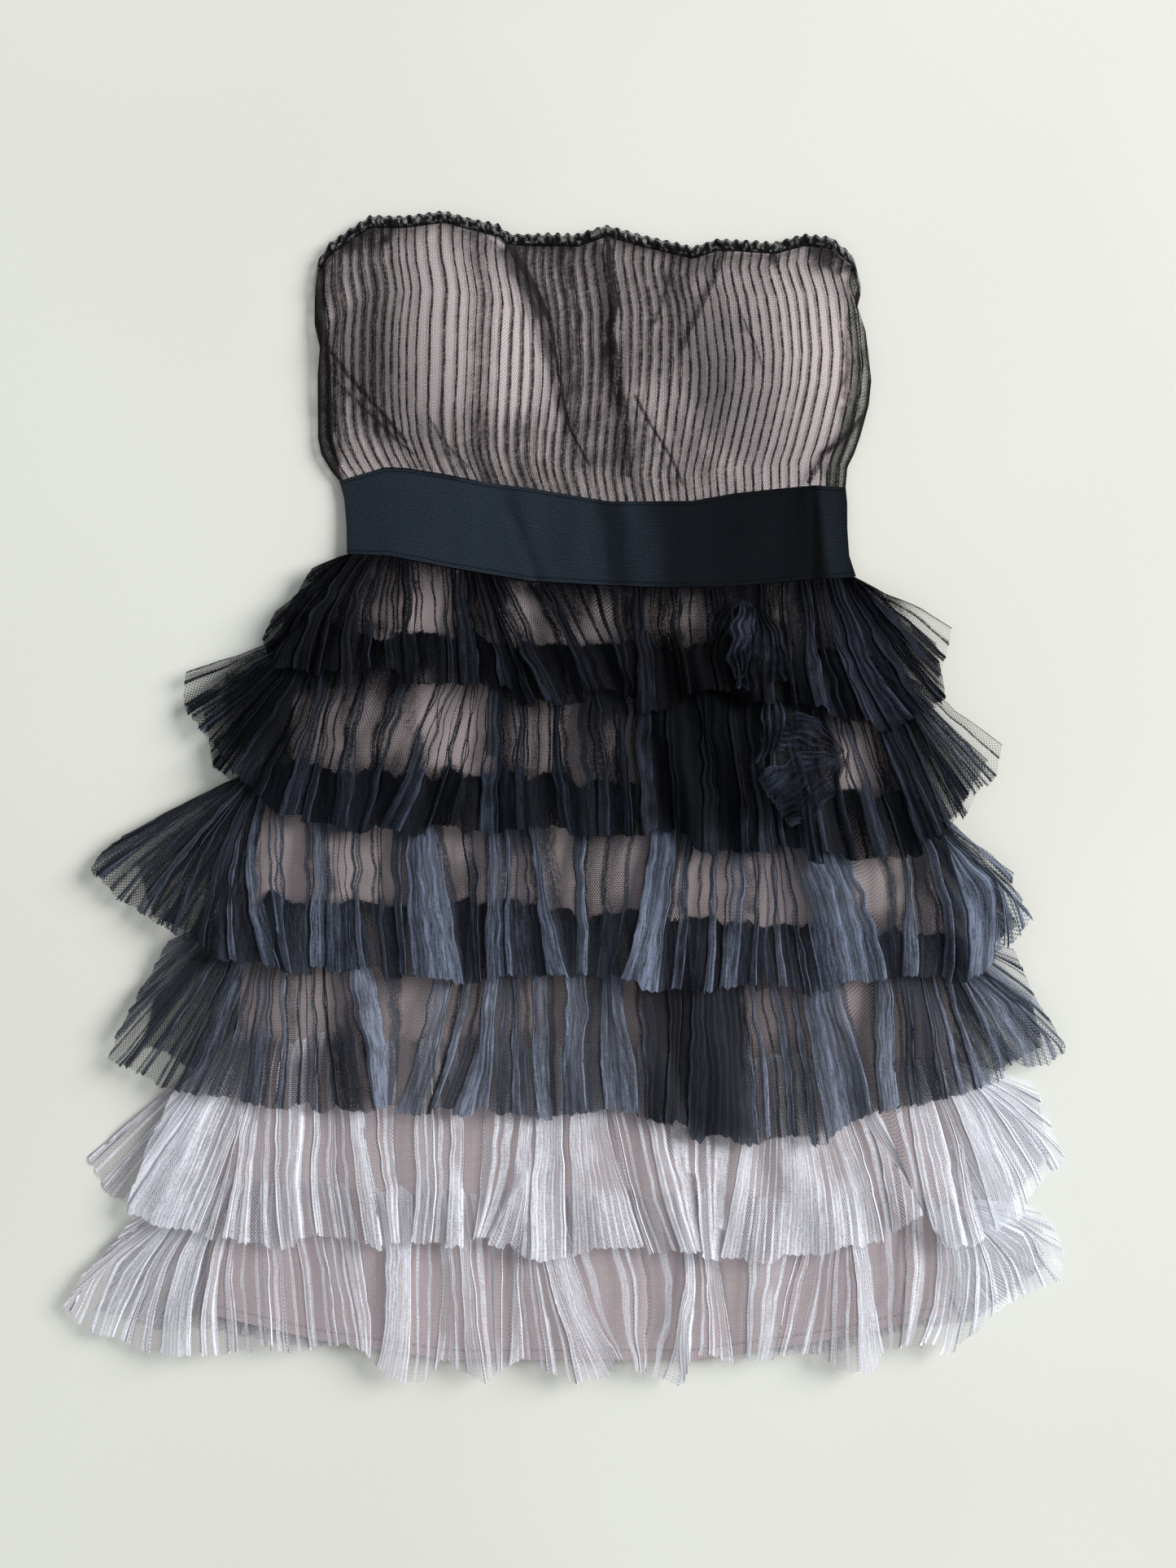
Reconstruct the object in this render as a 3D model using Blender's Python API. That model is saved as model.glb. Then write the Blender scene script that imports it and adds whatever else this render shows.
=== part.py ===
"""Strapless ruffle dress lying flat on its back.

A bodice with two padded cups, a wide elastic waistband and a skirt lining that carries six gathered tiers.
Every piece of cloth is a thin closed wall. The front is up, the bodice points to +Y and the hem to -Y.
Sizes are in millimetres until the meshes are made. "x" runs across the dress from its middle, to the right as it
is seen from above, and "drop" runs down the dress from the highest point of the top edge.
"""

import math

import bpy

MM = 0.001

# Driving sizes of the garment
DRESS_LENGTH = 714.0
SEAM_GAP = 0.3
NET_WALL = 1.2
LINING_WALL = 1.0
BAND_WALL = 1.8
TOP_EDGE_WIDTH = 7.0
BAND_BOW = 1.6
PANEL_COLUMNS = 36

# Heights of the layers above the surface that the dress lies on
BACK_RIB = 0.7
BACK_COVERED = NET_WALL + BACK_RIB + SEAM_GAP
BACK_LINING = BACK_COVERED + NET_WALL + BACK_RIB + SEAM_GAP
FRONT_LINING = BACK_LINING + LINING_WALL + SEAM_GAP
FRONT_RUFFLES = FRONT_LINING + LINING_WALL + SEAM_GAP
SIDE_RUFFLES = BACK_LINING
BODICE_BACK_LINING = NET_WALL + SEAM_GAP
BODICE_FRONT_LINING = BODICE_BACK_LINING + LINING_WALL + SEAM_GAP
BACK_BAND_WALL = BODICE_FRONT_LINING - SEAM_GAP

# The waistband edges: x, drop
WAIST_TOP = (
    (-138, 165), (-110, 157), (-97, 157.5), (-72, 161.5), (-47, 166.5), (-22, 169.5),
    (28, 178), (78, 177.5), (103, 173), (153, 168), (172, 169),
)
WAIST_BOTTOM = (
    (-133, 210), (-107, 211), (-72, 218), (-22, 226.5), (20, 229), (60, 230.5),
    (103, 230), (145, 226), (178, 224),
)

# The top edge of the bodice: x, drop
TOP_EDGE = (
    (-153, 46), (-151, 31), (-144, 20), (-134, 13), (-119, 3), (-97, 3), (-74, 0), (-57, 4.5),
    (-41, 8.5), (-34, 14), (8, 14.5), (25, 8.5), (43, 13.5), (78, 22), (93, 17), (128, 19.5),
    (146, 14.5), (163, 16), (176, 27), (181, 44),
)

# The sides of the bodice, the waistband and the skirt lining: drop, x
BODICE_LEFT = ((53, -153), (69, -153), (84, -149.5), (99, -151), (139, -151), (149, -149), (159, -143), (165, -138))
BODICE_RIGHT = (
    (51, 181), (59, 179), (74, 184), (104, 187.5), (119, 186), (139, 180.5), (149, 177), (157, 173), (169, 172),
)
BAND_LEFT = ((165, -138), (176, -135), (192, -133.5), (210, -133))
BAND_RIGHT = ((169, 172), (179, 173), (194, 173), (211, 174), (224, 178))
LINING_LEFT = ((210, -133), (229, -138), (319, -174), (394, -189), (469, -197), (674, -222))
LINING_RIGHT = ((224, 178), (229, 179), (319, 203), (394, 223), (469, 238), (675, 235))
LINING_HEM = ((-222, 674), (-150, 691), (-70, 703), (78, 703), (160, 691), (235, 675))

# The padded cups: name, x, drop, half width, half height, crown
CUPS = (
    ("cup_left", -74.0, 89.0, 64.0, 63.0, 17.0),
    ("cup_right", 126.0, 95.0, 51.0, 62.0, 15.0),
)
CUP_EDGE = 1.2
CUP_ROUNDNESS = 1.6
# The front lining clears a cup by this much, and comes down between these distances from the cup's middle
CUP_CLEARANCE = 0.8
LIFT_ENDS = 1.40
LIFT_STARTS = 1.14
LINING_SPREAD = 0.96

# Folds in the bodice overlay: x and drop at its top, x and drop at its foot, half width, rise
BODICE_FOLDS = (
    (-41, 12, -4, 89, 6, 2.4),
    (-4, 89, 14, 165, 6, 1.6),
    (26, 12, 42, 172, 6, 2.6),
    (103, 24, 76, 74, 6, 1.8),
    (-144, 84, -92, 124, 7, 2.0),
    (-92, 124, -70, 161, 7, 2.0),
    (43, 114, 73, 166, 6, 2.0),
    (176, 134, 151, 166, 6, 1.6),
)

# The seams that the tiers are gathered on: left x, left drop, middle drop, right x, right drop
TIER_SEAMS = {
    2: (-152, 254, 263, 189, 269),
    3: (-179, 337, 347, 209, 356),
    4: (-192, 419, 427, 229, 441),
    5: (-201, 501, 509, 239, 521),
    6: (-212, 591, 599, 237, 604),
}

# The outline of each front tier from its left end round the hem to its right end: seam x, hem x, hem drop
FRONT_HEMS = {
    1: (
        (-132, -154, 217), (-131, -168, 241), (-129, -177, 279), (-118, -148, 287), (-95, -106, 286),
        (-62, -56, 286), (-45, -27, 299), (-30, 3, 301), (-8, 26, 298), (12, 49, 306), (42, 66, 300),
        (75, 96, 297), (110, 130, 303), (140, 165, 310), (160, 205, 317), (170, 229, 302),
        (174, 226, 286), (176, 233, 266), (177, 236, 254),
    ),
    2: (
        (-151, -231, 284), (-150, -233, 296), (-149, -227, 316), (-148, -213, 330), (-147, -197, 351),
        (-144, -174, 368), (-136, -150, 372), (-122, -120, 377), (-100, -97, 381), (-55, -47, 379),
        (-10, 3, 380), (25, 51, 378), (55, 88, 389), (85, 123, 391), (120, 153, 394), (150, 193, 394),
        (172, 225, 388), (181, 240, 371), (184, 246, 361), (186, 263, 344), (188, 267, 328),
    ),
    3: (
        (-178, -270, 379), (-177, -290, 402), (-176, -274, 421), (-175, -257, 431), (-173, -227, 449),
        (-169, -197, 459), (-160, -174, 462), (-140, -147, 464), (-108, -107, 465), (-70, -65, 470),
        (-38, -32, 466), (-5, 15, 466), (30, 55, 474), (58, 88, 476), (85, 115, 473), (110, 133, 469),
        (130, 155, 480), (155, 176, 471), (180, 205, 470), (198, 240, 471), (203, 273, 449),
        (205, 286, 433), (207, 272, 414), (208, 274, 403),
    ),
    4: (
        (-191, -242, 450), (-190, -260, 477), (-189, -268, 497), (-188, -279, 515), (-187, -264, 524),
        (-185, -244, 534), (-180, -197, 542), (-163, -162, 547), (-130, -110, 549), (-85, -67, 548),
        (-45, -7, 552), (-10, 28, 549), (30, 68, 554), (45, 80, 565), (75, 110, 567), (115, 160, 566),
        (145, 188, 549), (175, 228, 541), (195, 258, 533), (208, 275, 522), (217, 293, 521),
        (222, 306, 511), (225, 300, 504), (227, 286, 476), (228, 274, 452),
    ),
    5: (
        (-200, -240, 543), (-199, -257, 579), (-198, -269, 612), (-196, -247, 617), (-192, -205, 627),
        (-182, -174, 631), (-165, -147, 624), (-140, -110, 631), (-110, -82, 631), (-80, -47, 627),
        (-50, -17, 638), (-20, 20, 634), (20, 78, 634), (45, 100, 640), (90, 153, 638), (125, 195, 627),
        (150, 222, 610), (170, 233, 635), (190, 248, 631), (210, 273, 619), (225, 293, 592),
        (234, 306, 578), (236, 300, 566), (238, 286, 530),
    ),
    6: (
        (-211, -265, 614), (-210, -282, 639), (-209, -307, 669), (-208, -294, 685), (-205, -267, 693),
        (-198, -240, 700), (-188, -202, 696), (-170, -162, 694), (-150, -132, 689), (-130, -107, 713),
        (-110, -87, 712), (-92, -74, 699), (-72, -48, 714), (-50, -26, 699), (-20, 11, 714), (0, 26, 714),
        (12, 31, 703), (45, 73, 714), (62, 77, 700), (100, 113, 703), (135, 153, 699), (165, 186, 711),
        (180, 198, 691), (200, 233, 696), (215, 260, 676), (228, 302, 654), (233, 306.5, 637),
        (235, 293, 614), (236, 286, 607),
    ),
}

# The outline of each back tier, as for the front
BACK_HEMS = {
    1: (
        (-132, -178, 243), (-131, -186, 261), (-129, -182, 275), (-118, -150, 290), (-60, -60, 294),
        (20, 20, 301), (100, 110, 303), (160, 200, 310), (172, 234, 300), (176, 228, 262),
    ),
    2: (
        (-151, -222, 300), (-149, -216, 342), (-138, -165, 370), (-60, -60, 379), (30, 40, 382),
        (110, 120, 388), (172, 220, 385), (184, 241, 371), (187, 260, 335),
    ),
    3: (
        (-178, -262, 396), (-175, -253, 434), (-162, -190, 455), (-60, -60, 466), (40, 45, 470),
        (140, 150, 472), (195, 235, 466), (205, 278, 440), (207, 266, 407),
    ),
    4: (
        (-191, -252, 480), (-188, -258, 513), (-176, -200, 535), (-60, -60, 546), (40, 50, 550),
        (140, 150, 556), (200, 253, 532), (224, 294, 513), (227, 286, 480),
    ),
    5: (
        (-200, -262, 556), (-199, -293, 582), (-197, -280, 603), (-188, -240, 611), (-60, -60, 626),
        (40, 60, 630), (140, 160, 632), (215, 268, 614), (234, 298, 580), (237, 290, 542),
    ),
    6: (
        (-211, -270, 640), (-208, -288, 676), (-195, -200, 690), (-60, -60, 702), (40, 45, 702),
        (140, 150, 700), (210, 253, 678), (232, 296, 648), (235, 287, 622),
    ),
}

# How high a front tier stands above the lining at a distance below its seam: distance, height.
# Each tier passes over the seam of the next one with room for that tier's gathers.
WAIST_TIER_RISE = ((0, 0.0), (37, 8.0), (90, 13.0))
MIDDLE_TIER_RISE = ((0, 0.0), (83, 8.0), (140, 13.0))
FIFTH_TIER_RISE = ((0, 0.0), (88, 8.0), (140, 10.6))
LAST_TIER_RISE = ((0, 0.0), (140, 6.5))

# Past the side seams the tiers lie flatter and sink towards the surface, over these distances from the lining
RISE_AT_SIDES = 0.55
FLATTER_FROM = 8.0
FLATTER_TO = 68.0
SINK_FROM = 10.0
SINK_TO = 55.0

# Ruffle waves
FRONT_WAVES = 16
BACK_WAVES = 8
COLUMNS_PER_WAVE = 4
WAVE_AT_HEM = 2.6
WAVE_AT_SEAM = 0.4
FRONT_BANDS = {1: 4, 2: 4, 3: 3, 4: 3, 5: 3, 6: 3}

# A back tier's scalloped hem, and where its covered head steps down to the surface past the hem of the tier above
BACK_SCALLOP = 2.0
STEP_CLEARANCE = 4.0
STEP_LENGTH = 10.0
EARLIEST_STEP = 0.3
LATEST_STEP = 0.8
LATEST_LANDING = 0.92

# The strongest bundles of pleats: tier, x at the hem, half width, rise at the hem
BUNDLES = (
    (1, -90, 12, 2.0), (1, -6, 10, 2.0), (1, 45, 8, 2.5), (1, 200, 10, 1.5),
    (2, -205, 10, 1.5), (2, -118, 9, 2.0), (2, 50, 9, 2.5), (2, 190, 14, 1.5), (2, 250, 8, 1.5),
    (3, -160, 12, 2.0), (3, -70, 9, 2.0), (3, 50, 9, 2.5), (3, 153, 12, 2.5), (3, 260, 10, 1.5),
    (4, -112, 9, 2.0), (4, -60, 9, 2.5), (4, 12, 10, 2.0), (4, 88, 9, 2.0), (4, 190, 12, 2.5),
    (5, -172, 9, 2.0), (5, -110, 9, 2.0), (5, -84, 8, 2.5), (5, -38, 9, 2.0), (5, 95, 9, 2.0), (5, 230, 10, 2.5),
    (6, -240, 10, 2.5), (6, -106, 10, 2.0), (6, -48, 9, 2.5), (6, 12, 12, 2.0), (6, 74, 8, 2.5),
    (6, 190, 10, 2.5),
)

# The crumpled flap on the first tier and the swirl below it on the second: x, drop, half width, half length, rise
CRUMPLED_FLAP = (106.0, 266.0, 17.0, 30.0, 5.0)
SWIRL = (140.0, 339.0, 22.0, 26.0, 4.5)

# Ruched top edge
FRONT_RUCHES = 18
BACK_RUCHES = 9
RUCHE_RISE = 1.1
LEAST_RUCHE = 0.6
# How round the strip is: part of its width, part of the ruche's rise
TOP_EDGE_ROLL = ((0.0, 0.0), (0.5, 1.0), (1.0, 0.3))

# Materials: red, green, blue, roughness
BLACK_NET = (0.012, 0.012, 0.016, 0.75)
NAVY_NET = (0.030, 0.038, 0.070, 0.72)
LAVENDER_NET = (0.56, 0.56, 0.66, 0.70)
PINK_KNIT = (0.46, 0.35, 0.36, 0.85)
BLACK_ELASTIC = (0.018, 0.022, 0.026, 0.80)
FOAM = (0.50, 0.40, 0.40, 0.90)
TIER_COLOURS = {1: BLACK_NET, 2: BLACK_NET, 3: NAVY_NET, 4: NAVY_NET, 5: LAVENDER_NET, 6: LAVENDER_NET}


def between(start, end, part):
    return start + (end - start) * part


def smooth_step(value):
    value = min(max(value, 0.0), 1.0)
    return value * value * (3.0 - 2.0 * value)


def read_table(table, key, column=1):
    """Reads a column of a table whose rows are sorted by their first entry, straight between its rows."""
    if key <= table[0][0]:
        return table[0][column]
    for upper, lower in zip(table, table[1:]):
        if key <= lower[0]:
            part = (key - upper[0]) / (lower[0] - upper[0])
            return between(upper[column], lower[column], part)
    return table[-1][column]


def spread(table, columns):
    """Evenly spaced points along a line, so that the pieces that meet on it share its straight runs."""
    xs = [between(table[0][0], table[-1][0], column / columns) for column in range(columns + 1)]
    return tuple((x, read_table(table, x)) for x in xs)


def place(x, drop, height):
    """Turns a point of the garment into metres in the part's frame, whose origin is below the middle."""
    return (x * MM, (DRESS_LENGTH / 2.0 - drop) * MM, height * MM)


def make_material(name, colour):
    red, green, blue, roughness = colour
    material = bpy.data.materials.new(name)
    material.use_nodes = True
    shader = material.node_tree.nodes["Principled BSDF"]
    shader.inputs["Base Color"].default_value = (red, green, blue, 1.0)
    shader.inputs["Roughness"].default_value = roughness
    shader.inputs["Metallic"].default_value = 0.0
    return material


def add_piece(name, points, faces, colour):
    mesh = bpy.data.meshes.new(name)
    mesh.from_pydata(points, [], faces)
    mesh.update()
    mesh.shade_smooth()
    mesh.set_sharp_from_angle(angle=math.radians(50.0))
    mesh.materials.append(make_material(name, colour))
    piece = bpy.data.objects.new(name, mesh)
    bpy.context.collection.objects.link(piece)
    return piece


def add_wall(name, grid, colour):
    """Makes a closed wall from a grid of rows of (x, drop, underside, topside)."""
    rows = len(grid)
    columns = len(grid[0])
    half = rows * columns
    tops = [place(x, drop, topside) for row in grid for x, drop, underside, topside in row]
    undersides = [place(x, drop, underside) for row in grid for x, drop, underside, topside in row]
    faces = []
    for row in range(rows - 1):
        for column in range(columns - 1):
            first = row * columns + column
            below = first + columns
            faces.append((first, below, below + 1))
            faces.append((first, below + 1, first + 1))
            faces.append((first + half, below + 1 + half, below + half))
            faces.append((first + half, first + 1 + half, below + 1 + half))
    rim = [row * columns for row in range(rows)]
    rim += [(rows - 1) * columns + column for column in range(1, columns)]
    rim += [row * columns + columns - 1 for row in range(rows - 2, -1, -1)]
    rim += [column for column in range(columns - 2, 0, -1)]
    for here, after in zip(rim, rim[1:] + rim[:1]):
        faces.append((here, here + half, after + half, after))
    return add_piece(name, tops + undersides, faces, colour)


def add_flat_panel(name, outline, underside, thickness, colour):
    """Makes a flat panel from its outline, which runs anticlockwise as seen from above."""
    count = len(outline)
    tops = [place(x, drop, underside + thickness) for x, drop in outline]
    undersides = [place(x, drop, underside) for x, drop in outline]
    faces = [tuple(range(count)), tuple(range(2 * count - 1, count - 1, -1))]
    for here in range(count):
        after = (here + 1) % count
        faces.append((here, here + count, after + count, after))
    return add_piece(name, tops + undersides, faces, colour)


def panel_outline(head, foot, left_side, right_side):
    """Runs down the left side of a panel, along its foot, up its right side and back along its head."""
    left = [(x, drop) for drop, x in left_side if head[0][1] + 1.0 < drop < foot[0][1] - 1.0]
    right = [(x, drop) for drop, x in right_side if head[-1][1] + 1.0 < drop < foot[-1][1] - 1.0]
    return [head[0]] + left + list(foot) + right[::-1] + list(head[:0:-1])


def panel_lines(head, foot, left_side, right_side, rows):
    """Rows of (x, drop) that fill a panel between its head, its foot and its two sides."""
    lines = []
    for row in range(rows + 1):
        down = row / rows
        left_drop = between(head[0][1], foot[0][1], down)
        right_drop = between(head[-1][1], foot[-1][1], down)
        left_bulge = read_table(left_side, left_drop) - between(head[0][0], foot[0][0], down)
        right_bulge = read_table(right_side, right_drop) - between(head[-1][0], foot[-1][0], down)
        line = []
        for column, (top, bottom) in enumerate(zip(head, foot)):
            across = column / (len(head) - 1)
            x = between(top[0], bottom[0], down) + between(left_bulge, right_bulge, across)
            line.append((x, between(top[1], bottom[1], down)))
        lines.append(line)
    return lines


def shifted(line, amount):
    return [(x, drop + amount) for x, drop in line]


TOP_LINE = spread(TOP_EDGE, PANEL_COLUMNS)
WAIST_TOP_LINE = spread(WAIST_TOP, PANEL_COLUMNS)
WAIST_BOTTOM_LINE = spread(WAIST_BOTTOM, PANEL_COLUMNS)


# The bodice

def cup_reach(x, drop, cup):
    """How far a point is from a cup's middle, where 1 is the cup's edge."""
    return math.hypot((x - cup[1]) / cup[3], (drop - cup[2]) / cup[4])


def crown(reach):
    inside = max(1.0 - reach * reach, 0.0)
    return inside ** CUP_ROUNDNESS


def lift_over_cups(x, drop):
    """How far the cups push the front lining up."""
    lift = 0.0
    for cup in CUPS:
        reach = cup_reach(x, drop, cup)
        edge = (CUP_EDGE + CUP_CLEARANCE) * smooth_step((LIFT_ENDS - reach) / (LIFT_ENDS - LIFT_STARTS))
        lift = max(lift, edge + cup[5] * crown(LINING_SPREAD * reach))
    return lift


def fold_rise(x, drop):
    """How far the folds raise the bodice overlay above the lining."""
    rise = 0.0
    for top_x, top_drop, foot_x, foot_drop, half_width, height in BODICE_FOLDS:
        length = math.hypot(foot_x - top_x, foot_drop - top_drop)
        along_x = (foot_x - top_x) / length
        along_drop = (foot_drop - top_drop) / length
        along = (x - top_x) * along_x + (drop - top_drop) * along_drop
        past_end = max(-along, along - length, 0.0)
        aside = abs((x - top_x) * along_drop - (drop - top_drop) * along_x)
        rise = max(rise, height * math.exp(-((math.hypot(aside, past_end) / half_width) ** 2)))
    return rise


def front_bodice(underside, wall, with_folds, rows=8):
    """Both front panels share their points across the bodice, so the overlay lies on the lining everywhere."""
    head = shifted(TOP_LINE, TOP_EDGE_WIDTH)
    foot = shifted(WAIST_TOP_LINE, -SEAM_GAP)
    grid = []
    for line in panel_lines(head, foot, BODICE_LEFT, BODICE_RIGHT, rows):
        heights = [underside + lift_over_cups(x, drop) + with_folds * fold_rise(x, drop) for x, drop in line]
        grid.append([(x, drop, height, height + wall) for (x, drop), height in zip(line, heights)])
    return grid


def add_bodice():
    lining = front_bodice(BODICE_FRONT_LINING, LINING_WALL, with_folds=False)
    add_wall("bodice_lining_front", lining, PINK_KNIT)
    overlay = front_bodice(BODICE_FRONT_LINING + LINING_WALL + SEAM_GAP, NET_WALL, with_folds=True)
    add_wall("bodice_overlay_front", overlay, BLACK_NET)
    head = shifted(TOP_LINE, TOP_EDGE_WIDTH)
    foot = shifted(WAIST_TOP_LINE, -SEAM_GAP)
    outline = panel_outline(head, foot, BODICE_LEFT, BODICE_RIGHT)
    add_flat_panel("bodice_overlay_back", outline, 0.0, NET_WALL, BLACK_NET)
    add_flat_panel("bodice_lining_back", outline, BODICE_BACK_LINING, LINING_WALL, PINK_KNIT)


def add_cup(cup, segments=24, rings=4):
    """A foam pad with a flat underside, a thin edge and a crown."""
    name, centre_x, centre_drop, half_width, half_height, height = cup
    base = BODICE_FRONT_LINING
    tops = [place(centre_x, centre_drop, base + CUP_EDGE + height)]
    undersides = [place(centre_x, centre_drop, base)]
    for ring in range(1, rings + 1):
        reach = ring / rings
        for segment in range(segments):
            turn = 2.0 * math.pi * segment / segments
            x = centre_x + half_width * reach * math.cos(turn)
            drop = centre_drop - half_height * reach * math.sin(turn)
            tops.append(place(x, drop, base + CUP_EDGE + height * crown(reach)))
            undersides.append(place(x, drop, base))
    half = len(tops)
    faces = []
    for segment in range(segments):
        after = (segment + 1) % segments
        faces.append((0, 1 + segment, 1 + after))
        faces.append((half, half + 1 + after, half + 1 + segment))
        for ring in range(rings - 1):
            inner = 1 + ring * segments
            outer = inner + segments
            faces.append((inner + segment, outer + segment, outer + after, inner + after))
            faces.append((half + inner + segment, half + inner + after, half + outer + after, half + outer + segment))
        edge = 1 + (rings - 1) * segments
        faces.append((edge + segment, half + edge + segment, half + edge + after, edge + after))
    return add_piece(name, tops + undersides, faces, FOAM)


def top_edge_grid(ruches, underside, thickness):
    """A narrow strip along the top edge, ruched on its upper side."""
    columns = ruches * COLUMNS_PER_WAVE
    grid = []
    for down, roll in TOP_EDGE_ROLL:
        line = []
        for column in range(columns + 1):
            across = column / columns
            x = between(TOP_LINE[0][0], TOP_LINE[-1][0], across)
            drop = read_table(TOP_LINE, x) + down * (TOP_EDGE_WIDTH - SEAM_GAP)
            ruche = 0.5 - 0.5 * math.cos(2.0 * math.pi * ruches * across)
            lift = roll * RUCHE_RISE * (LEAST_RUCHE + ruche)
            line.append((x, drop, underside, underside + thickness + lift))
        grid.append(line)
    return grid


def add_top_edges():
    back = BODICE_FRONT_LINING - SEAM_GAP - (1.0 + LEAST_RUCHE) * RUCHE_RISE
    add_wall("top_edge_back", top_edge_grid(BACK_RUCHES, 0.0, back), BLACK_NET)
    front = LINING_WALL + SEAM_GAP + NET_WALL
    add_wall("top_edge_front", top_edge_grid(FRONT_RUCHES, BODICE_FRONT_LINING, front), BLACK_NET)


# The waistband and the skirt lining

def add_waistband(rows=3):
    """The front half rises a little to meet the gathers; the back half is flat."""
    head_height = BODICE_FRONT_LINING + SEAM_GAP
    foot_height = FRONT_LINING + SEAM_GAP
    grid = []
    for row, line in enumerate(panel_lines(WAIST_TOP_LINE, WAIST_BOTTOM_LINE, BAND_LEFT, BAND_RIGHT, rows)):
        points = []
        for column, (x, drop) in enumerate(line):
            bow = BAND_BOW * math.sin(math.pi * column / PANEL_COLUMNS)
            height = between(head_height, foot_height, row / rows) + bow
            points.append((x, drop, height, height + BAND_WALL))
        grid.append(points)
    add_wall("waistband_front", grid, BLACK_ELASTIC)
    outline = panel_outline(WAIST_TOP_LINE, WAIST_BOTTOM_LINE, BAND_LEFT, BAND_RIGHT)
    add_flat_panel("waistband_back", outline, 0.0, BACK_BAND_WALL, BLACK_ELASTIC)


def add_skirt_lining():
    head = shifted(WAIST_BOTTOM_LINE, SEAM_GAP)
    outline = panel_outline(head, LINING_HEM, LINING_LEFT, LINING_RIGHT)
    add_flat_panel("skirt_lining_back", outline, BACK_LINING, LINING_WALL, PINK_KNIT)
    add_flat_panel("skirt_lining_front", outline, FRONT_LINING, LINING_WALL, PINK_KNIT)


# The tiers

def seam_drop(tier, x):
    """The drop of a tier's gathering seam: the waistband's edge, or a curve that sags in the middle."""
    if tier == 1:
        return read_table(WAIST_BOTTOM_LINE, x) + SEAM_GAP
    left_x, left_drop, middle_drop, right_x, right_drop = TIER_SEAMS[tier]
    across = (x - left_x) / (right_x - left_x)
    sag = middle_drop - (left_drop + right_drop) / 2.0
    inside = max(across * (1.0 - across), 0.0)
    return between(left_drop, right_drop, across) + 4.0 * sag * inside


def tier_lines(outline, columns):
    """Spreads lines evenly along a tier's hem: (part of the hem, seam x, hem x, hem drop)."""
    lengths = [0.0]
    for here, after in zip(outline, outline[1:]):
        lengths.append(lengths[-1] + math.hypot(after[1] - here[1], after[2] - here[2]))
    table = [(length,) + row for length, row in zip(lengths, outline)]
    lines = []
    for column in range(columns + 1):
        length = lengths[-1] * column / columns
        lines.append((column / columns,) + tuple(read_table(table, length, place_in_row) for place_in_row in (1, 2, 3)))
    return lines


def outside_lining(x, drop):
    return max(read_table(LINING_LEFT, drop) - x, x - read_table(LINING_RIGHT, drop), 0.0)


def tier_rise(tier, distance):
    if tier == 1:
        return read_table(WAIST_TIER_RISE, distance)
    if tier == 5:
        return read_table(FIFTH_TIER_RISE, distance)
    if tier == 6:
        return read_table(LAST_TIER_RISE, distance)
    return read_table(MIDDLE_TIER_RISE, distance)


def bundle_rise(tier, hem_x):
    return sum(
        rise * math.exp(-(((hem_x - x) / half_width) ** 2))
        for own_tier, x, half_width, rise in BUNDLES
        if own_tier == tier
    )


def crumple_rise(tier, x, drop):
    """The flap is one hump; the swirl is a ring with a dip in its middle."""
    if tier == 1:
        centre_x, centre_drop, half_width, half_length, rise = CRUMPLED_FLAP
        reach = math.hypot((x - centre_x) / half_width, (drop - centre_drop) / half_length)
        return rise * math.exp(-(reach ** 2))
    if tier == 2:
        centre_x, centre_drop, half_width, half_length, rise = SWIRL
        reach = math.hypot((x - centre_x) / half_width, (drop - centre_drop) / half_length)
        return rise * math.exp(-(((reach - 0.9) / 0.45) ** 2))
    return 0.0


def front_tier_height(tier, x, drop, hem_x, across, down):
    """The underside of a front tier: its rise over the tiers below, its waves and its bundles of pleats."""
    out = outside_lining(x, drop)
    sunk = smooth_step((out - SINK_FROM) / (SINK_TO - SINK_FROM))
    base = between(FRONT_RUFFLES, SIDE_RUFFLES, sunk)
    flattened = smooth_step((out - FLATTER_FROM) / (FLATTER_TO - FLATTER_FROM))
    flatter = between(1.0, RISE_AT_SIDES, flattened)
    rise = tier_rise(tier, max(drop - seam_drop(tier, x), 0.0))
    swing = between(WAVE_AT_SEAM, WAVE_AT_HEM, down)
    wave = swing * math.cos(2.0 * math.pi * FRONT_WAVES * across)
    ease_in = min(down * 3.0, 1.0)
    raised = down * bundle_rise(tier, hem_x) + ease_in * crumple_rise(tier, x, drop)
    return base + WAVE_AT_SEAM + flatter * (rise + max(wave + raised, -rise))


def add_front_tier(tier):
    rows = FRONT_BANDS[tier]
    lines = tier_lines(FRONT_HEMS[tier], FRONT_WAVES * COLUMNS_PER_WAVE)
    grid = []
    for row in range(rows + 1):
        down = row / rows
        points = []
        for across, seam_x, hem_x, hem_drop in lines:
            x = between(seam_x, hem_x, down)
            drop = between(seam_drop(tier, seam_x), hem_drop, down)
            height = front_tier_height(tier, x, drop, hem_x, across, down)
            points.append((x, drop, height, height + NET_WALL))
        grid.append(points)
    add_wall(f"tier_{tier}_front", grid, TIER_COLOURS[tier])


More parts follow.
